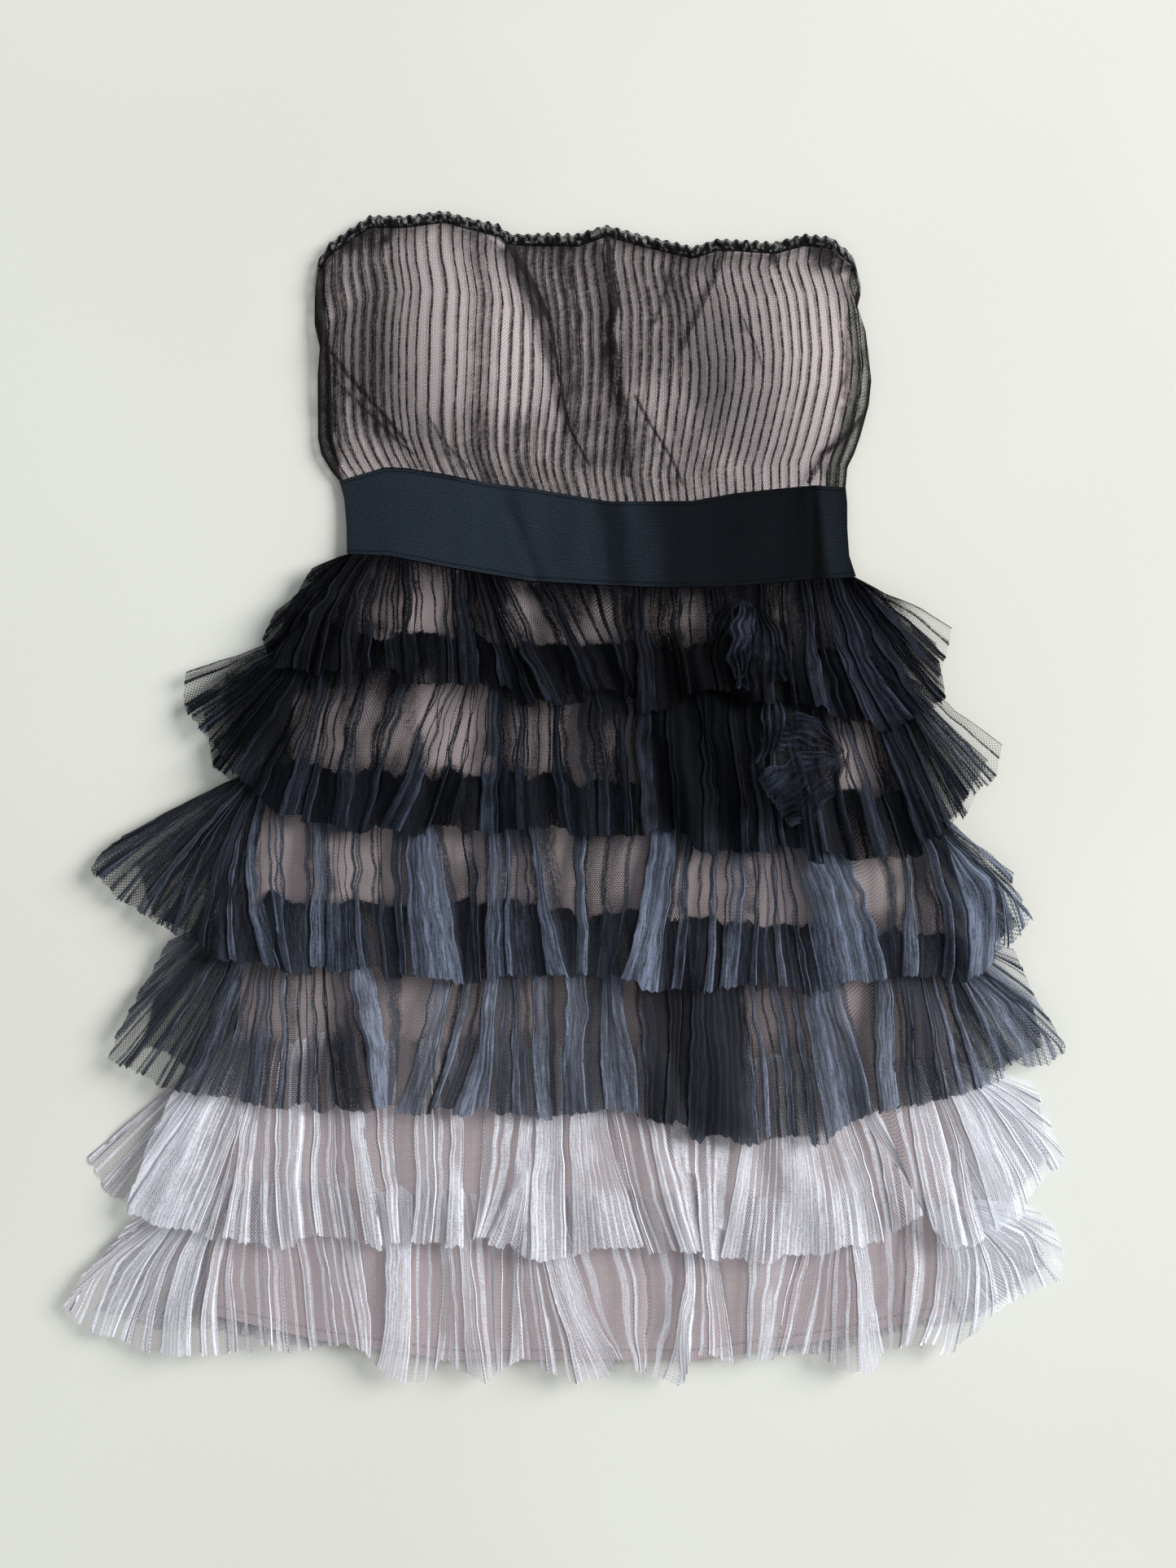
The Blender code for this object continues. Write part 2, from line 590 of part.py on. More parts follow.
def back_tier_row(tier, lines, row, covered_to):
    """One row of a back tier: its seam, the start and the end of its step down to the surface, or its hem."""
    points = []
    for across, seam_x, hem_x, hem_drop in lines:
        wave = math.cos(2.0 * math.pi * BACK_WAVES * across)
        foot = hem_drop + BACK_SCALLOP * wave
        head = seam_drop(tier, seam_x)
        step_start = min(max((covered_to - head) / (foot - head), EARLIEST_STEP), LATEST_STEP)
        step_end = min(step_start + STEP_LENGTH / (foot - head), LATEST_LANDING)
        down = (0.0, step_start, step_end, 1.0)[row]
        x = between(seam_x, hem_x, down)
        drop = between(head, foot, down)
        uncovered = min(max((drop - covered_to) / STEP_LENGTH, 0.0), 1.0)
        height = between(BACK_COVERED, 0.0, uncovered)
        rib = BACK_RIB * (0.5 + 0.5 * wave)
        points.append((x, drop, height, height + NET_WALL + rib))
    return points


def add_back_tier(tier):
    """A back tier lies over the next one on the floor side, so its covered head steps up and its hem rests flat."""
    covered_to = -STEP_LENGTH
    if tier > 1:
        covered_to = max(hem_drop for seam_x, hem_x, hem_drop in BACK_HEMS[tier - 1]) + STEP_CLEARANCE
    lines = tier_lines(BACK_HEMS[tier], BACK_WAVES * COLUMNS_PER_WAVE)
    grid = [back_tier_row(tier, lines, row, covered_to) for row in range(4)]
    add_wall(f"tier_{tier}_back", grid, TIER_COLOURS[tier])


def clear_scene():
    for thing in list(bpy.data.objects):
        bpy.data.objects.remove(thing)


def main():
    clear_scene()
    add_bodice()
    for cup in CUPS:
        add_cup(cup)
    add_top_edges()
    add_waistband()
    add_skirt_lining()
    for tier in range(1, 7):
        add_front_tier(tier)
        add_back_tier(tier)


main()
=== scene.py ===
"""Looks of the strapless ruffle dress that lies flat on its back.

Sizes are in millimetres until the meshes are made. "x" runs across the dress from its middle, to the right
as it is seen from above, and "drop" runs down the dress from the highest point of the top edge.
"""

import math

import bpy
import numpy as np
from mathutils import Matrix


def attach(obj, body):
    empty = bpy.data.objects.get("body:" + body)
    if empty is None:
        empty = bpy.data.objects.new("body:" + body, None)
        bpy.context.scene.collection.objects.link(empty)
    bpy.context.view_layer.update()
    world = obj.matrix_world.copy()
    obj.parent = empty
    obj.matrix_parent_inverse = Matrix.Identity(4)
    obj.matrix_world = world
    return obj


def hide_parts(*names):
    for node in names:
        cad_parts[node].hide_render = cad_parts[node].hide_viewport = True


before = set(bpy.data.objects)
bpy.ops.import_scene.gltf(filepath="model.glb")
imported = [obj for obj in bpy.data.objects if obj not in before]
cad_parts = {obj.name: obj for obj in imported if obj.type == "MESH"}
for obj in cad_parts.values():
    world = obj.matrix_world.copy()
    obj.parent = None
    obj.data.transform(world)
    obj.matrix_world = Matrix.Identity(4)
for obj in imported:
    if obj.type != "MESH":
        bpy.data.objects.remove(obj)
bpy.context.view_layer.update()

MM = 0.001

# Driving sizes of the garment, as in its solids
DRESS_LENGTH = 714.0
SEAM_GAP = 0.3
NET_WALL = 1.2
LINING_WALL = 1.0
BAND_WALL = 1.8
BAND_BOW = 1.6
BAND_WIDTH = 50.0
BAND_LENGTH = 310.0
TOP_EDGE_WIDTH = 7.0
TOP_EDGE_LENGTH = 334.0
BODICE_LENGTH = 150.0
LINING_LENGTH = 470.0
OVERLAY_WIDTH = 330.0
BACK_RIB = 0.7
BACK_COVERED = NET_WALL + BACK_RIB + SEAM_GAP
BACK_LINING = BACK_COVERED + NET_WALL + BACK_RIB + SEAM_GAP
FRONT_LINING = BACK_LINING + LINING_WALL + SEAM_GAP
FRONT_RUFFLES = FRONT_LINING + LINING_WALL + SEAM_GAP
SIDE_RUFFLES = BACK_LINING
BODICE_BACK_LINING = NET_WALL + SEAM_GAP
BODICE_FRONT_LINING = BODICE_BACK_LINING + LINING_WALL + SEAM_GAP
BACK_BAND_WALL = BODICE_FRONT_LINING - SEAM_GAP

# The waistband edges: x, drop
WAIST_TOP = (
    (-138, 165), (-110, 157), (-97, 157.5), (-72, 161.5), (-47, 166.5), (-22, 169.5),
    (28, 178), (78, 177.5), (103, 173), (153, 168), (172, 169),
)
WAIST_BOTTOM = (
    (-133, 210), (-107, 211), (-72, 218), (-22, 226.5), (20, 229), (60, 230.5),
    (103, 230), (145, 226), (178, 224),
)

# The top edge of the bodice: x, drop
TOP_EDGE = (
    (-153, 46), (-151, 31), (-144, 20), (-134, 13), (-119, 3), (-97, 3), (-74, 0), (-57, 4.5),
    (-41, 8.5), (-34, 14), (8, 14.5), (25, 8.5), (43, 13.5), (78, 22), (93, 17), (128, 19.5),
    (146, 14.5), (163, 16), (176, 27), (181, 44),
)

# The sides of the bodice overlay, the bodice lining, the waistband and the skirt lining: drop, x
BODICE_LEFT = (
    (53, -153), (69, -153), (84, -149.5), (99, -151), (139, -151), (149, -149), (159, -143), (165, -138),
)
BODICE_RIGHT = (
    (51, 181), (59, 179), (74, 184), (104, 187.5), (119, 186), (139, 180.5), (149, 177), (157, 173),
    (169, 172),
)
KNIT_LEFT = ((53, -147), (84, -144.5), (99, -143), (139, -142), (152, -139), (165, -137))
KNIT_HEAD_ENDS = (-147.0, 174.0)
KNIT_FOOT_ENDS = (-137.0, 160.0)
KNIT_RIGHT = ((51, 175), (64, 174), (84, 171.5), (109, 171), (134, 170), (149, 163), (160, 160), (169, 160))
BAND_LEFT = ((165, -138), (176, -135), (192, -133.5), (210, -133))
BAND_RIGHT = ((169, 172), (179, 173), (194, 173), (211, 174), (224, 178))
LINING_LEFT = ((210, -133), (229, -138), (319, -174), (394, -189), (469, -197), (674, -222))
LINING_RIGHT = ((224, 178), (229, 179), (319, 203), (394, 223), (469, 238), (675, 235))
LINING_HEM = ((-222, 674), (-150, 691), (-70, 703), (78, 703), (160, 691), (235, 675))

# The padded cups: name, x, drop, half width, half height, crown
CUPS = (
    ("cup_left", -74.0, 89.0, 64.0, 63.0, 17.0),
    ("cup_right", 126.0, 95.0, 51.0, 62.0, 15.0),
)
CUP_EDGE = 1.2
CUP_ROUNDNESS = 1.6
CUP_CLEARANCE = 0.8
CUP_SEGMENTS = 72
CUP_RINGS = 18

# How far the lining and the overlay are lifted around a cup, in half widths of the cup
LIFT_ENDS = 1.40
LIFT_STARTS = 1.14
LINING_SPREAD = 0.96

# Folds in the bodice overlay: x and drop at its top, x and drop at its foot, half width, rise
BODICE_FOLDS = (
    (-41, 12, -4, 89, 6, 2.4),
    (-4, 89, 14, 165, 6, 1.6),
    (26, 12, 42, 172, 6, 2.6),
    (103, 24, 76, 74, 6, 1.8),
    (-144, 84, -92, 124, 7, 2.0),
    (-92, 124, -70, 161, 7, 2.0),
    (43, 114, 73, 166, 6, 2.0),
    (176, 134, 151, 166, 6, 1.6),
)

# The seams that the tiers are gathered on: left x, left drop, middle drop, right x, right drop
TIER_SEAMS = {
    2: (-152, 254, 263, 189, 269),
    3: (-179, 337, 347, 209, 356),
    4: (-192, 419, 427, 229, 441),
    5: (-201, 501, 509, 239, 521),
    6: (-212, 591, 599, 237, 604),
}

# The outline of each front tier from its left end round the hem to its right end: seam x, hem x, hem drop
FRONT_HEMS = {
    1: (
        (-132, -154, 217), (-131, -168, 241), (-129, -177, 279), (-118, -148, 287), (-95, -106, 286),
        (-62, -56, 286), (-45, -27, 299), (-30, 3, 301), (-8, 26, 298), (12, 49, 306), (42, 66, 300),
        (75, 96, 297), (110, 130, 303), (140, 165, 310), (160, 205, 317), (170, 229, 302),
        (174, 226, 286), (176, 233, 266), (177, 236, 254),
    ),
    2: (
        (-151, -231, 284), (-150, -233, 296), (-149, -227, 316), (-148, -213, 330), (-147, -197, 351),
        (-144, -174, 368), (-136, -150, 372), (-122, -120, 377), (-100, -97, 381), (-55, -47, 379),
        (-10, 3, 380), (25, 51, 378), (55, 88, 389), (85, 123, 391), (120, 153, 394), (150, 193, 394),
        (172, 225, 388), (181, 240, 371), (184, 246, 361), (186, 263, 344), (188, 267, 328),
    ),
    3: (
        (-178, -270, 379), (-177, -290, 402), (-176, -274, 421), (-175, -257, 431), (-173, -227, 449),
        (-169, -197, 459), (-160, -174, 462), (-140, -147, 464), (-108, -107, 465), (-70, -65, 470),
        (-38, -32, 466), (-5, 15, 466), (30, 55, 474), (58, 88, 476), (85, 115, 473), (110, 133, 469),
        (130, 155, 480), (155, 176, 471), (180, 205, 470), (198, 240, 471), (203, 273, 449),
        (205, 286, 433), (207, 272, 414), (208, 274, 403),
    ),
    4: (
        (-191, -242, 450), (-190, -260, 477), (-189, -268, 497), (-188, -279, 515), (-187, -264, 524),
        (-185, -244, 534), (-180, -197, 542), (-163, -162, 547), (-130, -110, 549), (-85, -67, 548),
        (-45, -7, 552), (-10, 28, 549), (30, 68, 554), (45, 80, 565), (75, 110, 567), (115, 160, 566),
        (145, 188, 549), (175, 228, 541), (195, 258, 533), (208, 275, 522), (217, 293, 521),
        (222, 306, 511), (225, 300, 504), (227, 286, 476), (228, 274, 452),
    ),
    5: (
        (-200, -240, 543), (-199, -257, 579), (-198, -269, 612), (-196, -247, 617), (-192, -205, 627),
        (-182, -174, 631), (-165, -147, 624), (-140, -110, 631), (-110, -82, 631), (-80, -47, 627),
        (-50, -17, 638), (-20, 20, 634), (20, 78, 634), (45, 100, 640), (90, 153, 638), (125, 195, 627),
        (150, 222, 610), (170, 233, 635), (190, 248, 631), (210, 273, 619), (225, 293, 592),
        (234, 306, 578), (236, 300, 566), (238, 286, 530),
    ),
    6: (
        (-211, -265, 614), (-210, -282, 639), (-209, -307, 669), (-208, -294, 685), (-205, -267, 693),
        (-198, -240, 700), (-188, -202, 696), (-170, -162, 694), (-150, -132, 689), (-130, -107, 713),
        (-110, -87, 712), (-92, -74, 699), (-72, -48, 714), (-50, -26, 699), (-20, 11, 714), (0, 26, 714),
        (12, 31, 703), (45, 73, 714), (62, 77, 700), (100, 113, 703), (135, 153, 699), (165, 186, 711),
        (180, 198, 691), (200, 233, 696), (215, 260, 676), (228, 302, 654), (233, 306.5, 637),
        (235, 293, 614), (236, 286, 607),
    ),
}

# The outline of each back tier, as for the front
BACK_HEMS = {
    1: (
        (-132, -178, 243), (-131, -186, 261), (-129, -182, 275), (-118, -150, 290), (-60, -60, 294),
        (20, 20, 301), (100, 110, 303), (160, 200, 310), (172, 234, 300), (176, 228, 262),
    ),
    2: (
        (-151, -222, 300), (-149, -216, 342), (-138, -165, 370), (-60, -60, 379), (30, 40, 382),
        (110, 120, 388), (172, 220, 385), (184, 241, 371), (187, 260, 335),
    ),
    3: (
        (-178, -262, 396), (-175, -253, 434), (-162, -190, 455), (-60, -60, 466), (40, 45, 470),
        (140, 150, 472), (195, 235, 466), (205, 278, 440), (207, 266, 407),
    ),
    4: (
        (-191, -252, 480), (-188, -258, 513), (-176, -200, 535), (-60, -60, 546), (40, 50, 550),
        (140, 150, 556), (200, 253, 532), (224, 294, 513), (227, 286, 480),
    ),
    5: (
        (-200, -262, 556), (-199, -293, 582), (-197, -280, 603), (-188, -240, 611), (-60, -60, 626),
        (40, 60, 630), (140, 160, 632), (215, 268, 614), (234, 298, 580), (237, 290, 542),
    ),
    6: (
        (-211, -270, 640), (-208, -288, 676), (-195, -200, 690), (-60, -60, 702), (40, 45, 702),
        (140, 150, 700), (210, 253, 678), (232, 296, 648), (235, 287, 622),
    ),
}

# How high a front tier stands above the lining at a distance below its seam: distance, height
WAIST_TIER_RISE = ((0, 0.0), (37, 8.0), (90, 13.0))
MIDDLE_TIER_RISE = ((0, 0.0), (83, 8.0), (140, 13.0))
FIFTH_TIER_RISE = ((0, 0.0), (88, 8.0), (140, 10.6))
LAST_TIER_RISE = ((0, 0.0), (140, 6.5))
TIER_RISES = {
    1: WAIST_TIER_RISE,
    2: MIDDLE_TIER_RISE,
    3: MIDDLE_TIER_RISE,
    4: MIDDLE_TIER_RISE,
    5: FIFTH_TIER_RISE,
    6: LAST_TIER_RISE,
}

# Past the side seams the tiers lie flatter and sink to the surface, over these distances from the lining
RISE_AT_SIDES = 0.55
FLATTER_FROM = 8.0
FLATTER_TO = 68.0
SINK_FROM = 10.0
SINK_TO = 55.0

# Ruffle waves
FRONT_WAVES = 16
BACK_WAVES = 8
WAVE_AT_HEM = 2.6
WAVE_AT_SEAM = 0.4
EASE_IN = 3.0

# The lavender tiers have smaller waves and bundles than the solids: the share of each
LAVENDER_TIERS = (5, 6)
NAVY_TIERS = (3, 4)
LAVENDER_SHARES = (0.55, 0.4)

# A back tier's scalloped hem, and where its covered head steps down to the surface, past the tier above
BACK_SCALLOP = 2.0
STEP_CLEARANCE = 4.0
STEP_LENGTH = 10.0

# The strongest bundles of pleats stand up: tier, x at the hem, half width, rise at the hem
BUNDLES = (
    (1, -90, 12, 2.0), (1, -6, 10, 2.0), (1, 45, 8, 2.5), (1, 200, 10, 1.5),
    (2, -205, 10, 1.5), (2, -118, 9, 2.0), (2, 50, 9, 2.5), (2, 190, 14, 1.5), (2, 250, 8, 1.5),
    (3, -160, 12, 2.0), (3, -70, 9, 2.0), (3, 50, 9, 2.5), (3, 153, 12, 2.5), (3, 260, 10, 1.5),
    (4, -112, 9, 2.0), (4, -60, 9, 2.5), (4, 12, 10, 2.0), (4, 88, 9, 2.0), (4, 190, 12, 2.5),
    (5, -172, 9, 2.0), (5, -110, 9, 2.0), (5, -84, 8, 2.5), (5, -38, 9, 2.0), (5, 95, 9, 2.0),
    (5, 230, 10, 2.5),
    (6, -240, 10, 2.5), (6, -106, 10, 2.0), (6, -48, 9, 2.5), (6, 12, 12, 2.0), (6, 74, 8, 2.5),
    (6, 190, 10, 2.5),
)

# Where the net is crumpled, as a mound or a ring: x, drop, half width, half length, rise, and the place and
# width of the ring as shares of that half width
CRUMPLES = {
    1: (106.0, 266.0, 17.0, 30.0, 5.0, 0.0, 1.0),
    2: (140.0, 339.0, 22.0, 26.0, 4.5, 0.9, 0.45),
}

# Folded ends of the net that lie on the two black tiers: tier, x and drop at the start, middle and end of one
# edge, the same of the other edge, how many pleats, and how light
FLAPS = (
    (1, (104, 238), (90, 247), (87, 263), (110, 239), (104, 251), (100, 263), 4, 0.35),
    (1, (113, 243), (107, 268), (103, 291), (119, 243), (134, 264), (140, 291), 7, 0.45),
    (1, (108, 240), (100, 261), (103, 288), (112, 240), (117, 257), (109, 288), 4, 1.4),
    (2, (129, 309), (150, 311), (168, 327), (130, 330), (146, 333), (163, 333), 6, 0.40),
    (2, (169, 334), (143, 334), (119, 347), (170, 337), (160, 364), (135, 377), 10, 0.65),
    (2, (120, 280), (122, 306), (117, 338), (126, 280), (133, 306), (131, 330), 4, 0.55),
)
FLAP_CLEARANCE = 3.2
FLAP_BULGE = 1.8
FLAP_SHAKE = 7.0
FLAP_COLUMNS = 8
FLAP_ROWS = 31

# Strands of pleats on the two black tiers: x at the seam, half way and at the hem, half width, how light
STRANDS = {
    1: (
        (-127, -150, -160, 5, 0.5), (-96, -94, -92, 5, 0.5), (-64, -61, -57, 6, 1.0),
        (-42, -26, -6, 6, 0.8),
        (-12, 5, 16, 5, 0.5), (45, 47, 50, 6, 0.3), (92, 94, 98, 5, 0.3), (120, 121, 124, 4, 0.5),
        (146, 150, 156, 5, 0.5), (165, 180, 205, 6, 0.5),
    ),
    2: (
        (-138, -152, -168, 5, 0.4), (-112, -128, -136, 5, 0.6), (-60, -81, -106, 7, 1.0),
        (-42, -43, -46, 6, 0.8),
        (-8, -4, 2, 5, 0.3), (18, 20, 24, 4, 0.4), (48, 50, 52, 5, 0.4), (84, 86, 88, 5, 0.4),
        (112, 116, 122, 5, 0.5), (130, 138, 148, 5, 0.5), (160, 176, 192, 6, 0.7),
        (182, 200, 222, 6, 0.5),
    ),
}

# Fans of pleats on the other tiers: x of the left edge at the seam, half way and at the hem, the same of the
# right edge, and how light the fan looks
FANS = {
    3: (
        (-177, -192.5, -183, -173, -186, -171, 0.8), (-153, -155, -154.5, -147, -148, -146.5, 0.8),
        (-144, -145, -144, -132, -132, -127, 0.9), (-97, -95.5, -92, -84.5, -72, -61, 0.75),
        (-49.5, -48, -47, -41, -39, -38, 0.45), (-24.5, -19, -11, -18, -13.5, 3, 1.0),
        (5, 6, 6, 12, 13, 14, 0.7), (55.5, 48, 34, 72, 64, 57, 1.0),
        (95.5, 99.5, 93, 103, 108, 104.5, 0.6),
        (128, 142, 155.5, 145.5, 179, 195.5, 0.75), (200, 205, 204, 203, 212, 214, 0.8),
        (205.5, 238, 243, 206.5, 253, 260.5, 0.5),
    ),
    4: (
        (-190, -209.5, -236, -186, -197, -222, 0.7), (-182, -188, -197, -177, -178, -184.5, 0.5),
        (-161, -161, -162, -154.5, -152, -149.5, 0.7), (-137, -127, -116, -127, -112, -107, 1.0),
        (-72, -83, -102, -64.5, -71, -87, 0.9), (-44.5, -51, -68, -38, -40.5, -46, 1.0),
        (-22, -19.5, -17, -14.5, -11, -7, 0.6), (0.5, -1, 0, 10.5, 12, 14, 1.0),
        (20.5, 21, 24, 30.5, 38, 45.5, 0.75),
        (60, 62, 60, 68, 70, 70, 0.3), (75.5, 75.5, 74, 103, 112, 118, 0.35),
        (140.5, 149, 158, 150.5, 173, 186, 1.0),
        (187, 188, 189, 195.5, 199, 203, 0.8), (223, 253, 270.5, 226, 273, 300, 0.4),
    ),
    5: (
        (-197, -244, -267, -186, -202, -222, 1.0), (-171, -178.5, -172, -158, -160, -158, 0.8),
        (-151, -154, -151, -146, -149, -146, 0.7), (-135, -131.5, -121, -127, -119.5, -109, 1.0),
        (-89, -90.5, -93, -82, -78.5, -80.5, 1.0), (-70.5, -69.5, -72.5, -65.5, -61, -60.5, 0.9),
        (-27, -28.5, -47, -20, -22, -27, 0.9), (-16, -19, -21, -2, 0, 1, 0.8),
        (4, 4, 4, 20.5, 29, 48, 0.75),
        (43, 53, 70, 53, 65.5, 80.5, 0.8), (78, 79.5, 83, 88, 89, 91, 0.75),
        (110.5, 104.5, 94, 153, 178, 194, 0.9),
        (160, 186, 198, 172, 202, 224, 0.3), (208, 213, 229, 216, 230.5, 244, 1.0),
        (224, 244, 262, 228, 256, 276, 0.9),
    ),
    6: (
        (-211, -262, -290, -209, -250, -275, 0.5), (-207, -234.5, -246, -203, -221, -227, 1.0),
        (-198, -216, -221, -194, -209.5, -211, 0.5), (-142, -131, -124, -134.5, -121, -118, 0.6),
        (-117, -109.5, -115, -93, -91.5, -96, 1.0), (-82, -74.5, -79.5, -74.5, -67, -64.5, 0.5),
        (-67, -62, -59.5, -61, -54.5, -47, 1.0), (-33, -31, -34.5, -27, -26, -24.5, 0.5),
        (-19.5, -7, 7, -2, 10.5, 34, 0.95), (65.5, 72, 59, 74, 78, 76, 0.95),
        (80.5, 85.5, 87, 87, 95.5, 103, 0.6),
        (118, 111.5, 110, 153, 140.5, 127, 0.9), (170.5, 177, 178, 180.5, 185, 194.5, 0.9),
        (222, 225.5, 215.5, 230, 245.5, 238, 0.9), (232, 262, 280, 234, 272, 294, 0.8),
    ),
}

# How light the woven face of the waistband looks across it: a painted sheen over its left part, darker over
# its right part, and painted shade in its folds and dents: x, shade
BAND_SHEEN_AND_SHADE = (
    (-138, 0.55), (-128, 0.75), (-112, 0.85), (-95, 1.0), (-60, 0.95), (-40, 0.8), (-28, 0.55),
    (-14, 0.85),
    (10, 0.9), (20, 0.75), (26, 0.35), (34, 0.35), (42, 0.65), (52, 0.45), (62, 0.2), (90, 0.14),
    (140, 0.12),
    (147, 0.04), (155, 0.04), (160, 0.42), (169, 0.36), (176, 0.15),
)

# How much more open than listed the open patches are, as a power of their share of the layers
OPEN_PATCHES = 1.5

# Patches where a front tier lies open over the lining, or is crowded and dark with painted shade: x from, x
# to, drop from, drop to, and the factors of its layers and of its painted light
PATCHES = {
    1: (
        (-122, -97, 214, 254, 0.38, 0.6), (-92, -66, 214, 259, 0.18, 0.6),
        (-36, -20, 229, 259, 0.45, 0.8),
        (12, 41, 234, 264, 0.38, 0.8), (69, 88, 231, 264, 0.5, 0.8), (128, 144, 229, 262, 0.5, 0.8),
        (152, 172, 232, 262, 0.45, 0.8), (50, 120, 262, 310, 3.2, 0.12), (-175, -125, 240, 290, 1.6, 0.5),
        (148, 206, 226, 312, 1.1, 2.2), (-130, -104, 262, 300, 0.36, 0.9),
        (-100, -84, 262, 300, 0.5, 0.8),
    ),
    2: (
        (-166, -136, 288, 336, 0.40, 0.7), (-132, -98, 296, 336, 0.55, 0.7),
        (-88, -47, 284, 342, 0.16, 0.7),
        (-38, -2, 300, 342, 0.50, 0.8), (20, 48, 304, 350, 0.60, 0.6), (164, 190, 309, 352, 0.20, 1.0),
        (128, 150, 306, 350, 0.6, 0.9), (52, 122, 262, 372, 3.4, 0.15), (-205, -168, 285, 330, 2.4, 0.3),
    ),
    3: (
        (-190, -154, 366, 420, 0.30, 0.8), (-143, -102, 376, 421, 0.18, 0.8),
        (-80, -56, 370, 396, 0.38, 0.8),
        (-38, -21, 390, 421, 0.35, 0.8), (20, 42, 384, 424, 0.7, 0.5), (72, 104, 388, 440, 0.35, 0.8),
        (112, 147, 390, 441, 0.30, 0.8), (178, 214, 390, 426, 0.38, 0.8),
    ),
    4: (
        (-198, -173, 456, 502, 0.35, 0.8), (-164, -136, 460, 516, 0.32, 0.8),
        (-104, -72, 466, 500, 0.5, 0.7),
        (-66, -46, 466, 502, 0.5, 0.7), (-30, -12, 466, 500, 0.45, 0.7), (41, 55, 470, 506, 0.5, 0.6),
        (110, 130, 472, 516, 0.6, 0.6), (-136, -121, 478, 556, 1.9, 0.35), (48, 110, 474, 562, 3.0, 0.16),
        (-178, -150, 506, 540, 0.6, 0.5), (140, 152, 500, 556, 1.8, 0.4), (-96, -76, 500, 545, 0.6, 0.5),
    ),
    5: (
        (-190, -176, 545, 590, 0.5, 0.7), (-108, -90, 550, 595, 0.45, 0.6),
        (-66, -30, 555, 596, 0.4, 0.6),
        (18, 46, 560, 600, 0.4, 0.6), (120, 132, 570, 604, 0.5, 0.6), (156, 168, 566, 600, 0.5, 0.7),
    ),
    6: (
        (-200, -150, 628, 690, 0.5, 0.6), (-84, -64, 640, 690, 0.4, 0.6), (-44, -26, 640, 690, 0.4, 0.6),
        (28, 62, 640, 700, 0.35, 0.6), (86, 110, 640, 700, 0.4, 0.6), (128, 172, 640, 700, 0.45, 0.6),
    ),
}

# Folded net that shows as dark lines across the bodice overlay: how many layers it adds, half width at its
# head and at its foot, and its points: x, drop
OVERLAY_LINES = (
    (12.0, 2.8, 2.4, ((-43, 6), (-31, 26), (-20.5, 44.5), (-9.5, 66.5))),
    (6.0, 1.6, 1.0, ((-9.5, 66.5), (-7, 76), (-5.5, 90), (2, 130), (14.5, 155))),
    (7.0, 2.2, 4.6, ((26, 16), (28.5, 38), (31, 56), (27.5, 72), (28, 86))),
    (3.2, 6.4, 2.4, ((28, 84), (31.5, 104), (35.5, 121), (39, 144), (38.5, 162))),
    (2.4, 3.2, 2.0, ((98, 22), (90.5, 41.5), (83, 59), (75.5, 74), (72, 84))),
    (3.0, 2.6, 0.8, ((126, 20), (131, 39))),
    (1.6, 1.6, 1.2, ((68, 24), (60.5, 54), (55.5, 69))),
    (2.4, 0.8, 0.8, ((105.5, 59), (110.5, 74), (115.5, 84), (119.5, 99))),
    (2.6, 2.2, 1.6, ((-146, 82), (-132, 101.5), (-112, 124), (-97, 141.5))),
    (2.0, 1.8, 1.2, ((-141, 103), (-122, 121.5), (-102, 141.5), (-92, 149))),
    (1.6, 1.8, 1.2, ((-82, 129), (-74.5, 141.5), (-59.5, 156.5))),
    (2.6, 1.6, 1.4, ((43, 114), (53, 131.5), (60.5, 144), (68, 156.5), (72, 167))),
    (3.4, 2.4, 2.0, ((181, 127), (168, 141.5), (158, 149), (149.5, 166))),
)

# The bodice overlay: its pleats, its mesh's columns and rows, and how far it is tucked under the waistband
OVERLAY_PLEATS = 57
OVERLAY_COLUMNS = 8
OVERLAY_ROWS = 130
OVERLAY_TUCK = 0.8

# Where the overlay's pleats lie close: how much, then x from, x to, drop from, drop to and how softly it ends
CLOSE_PLEATS = (
    (1.0, (-152, -104, 20, 145, 12.0, 20.0)),
    (0.7, (-90, 60, 125, 180, 12.0, 12.0)),
    (0.75, (34, 74, 30, 104, 10.0, 14.0)),
)
OVERLAY_LAP = (0.12, 0.30)

# Further layers of the overlay: in its dark lines, past the knit at the left and right, in its upper corners,
# and at its side seams
LINE_WIDTH = 0.65
LINE_LAYERS = 1.2
SIDE_NET = (3.4, 1.4)
OVERLAY_CORNERS = ((-160, -106, 0, 22), (152, 186, 10, 34))
CORNER_LAYERS = 5.0
SEAM_LAYERS = 6.0
SEAM_WIDTH = 1.8

# The ruched top edge: its tips, its rounded back from head to foot, and how high its ruches stand
EDGE_TIPS = 55.0
TOP_EDGE_ROLL = ((0.0, 0.0), (0.5, 1.0), (1.0, 0.3))
RUCHE_RISE = 1.1
LEAST_RUCHE = 0.6

# The tiers' meshes: the width of a column, the columns of a pleat and how they zigzag, rows, and the row
# along which the net is laid out
NET_COLUMN = 1.5
PLEAT_COLUMNS = 4
ZIGZAG = (0.0, 1.0, 0.0, -1.0)
FRONT_ROWS = 25
BACK_ROWS = 16
NET_ROW = 0.7
HEM_SAMPLES = 400
LOWEST_NET = 0.12

# A strand's width at its top and its middle, as a share of its width at the hem
STRAND_TOP = 0.6
STRAND_MIDDLE = 0.8

# Smaller fans between the listed ones: where they start and end along the hem, how their spacing and width
# vary, the gap that they leave and how light they look
FILLERS_START = 6.0
FILLERS_END = 10.0
FILLER_SPACING = (0.5, 1.5)
FILLER_WIDTH = (3.0, 7.0)
FILLER_GAP = 2.5
FILLER_LIGHT = (0.0, 0.5)

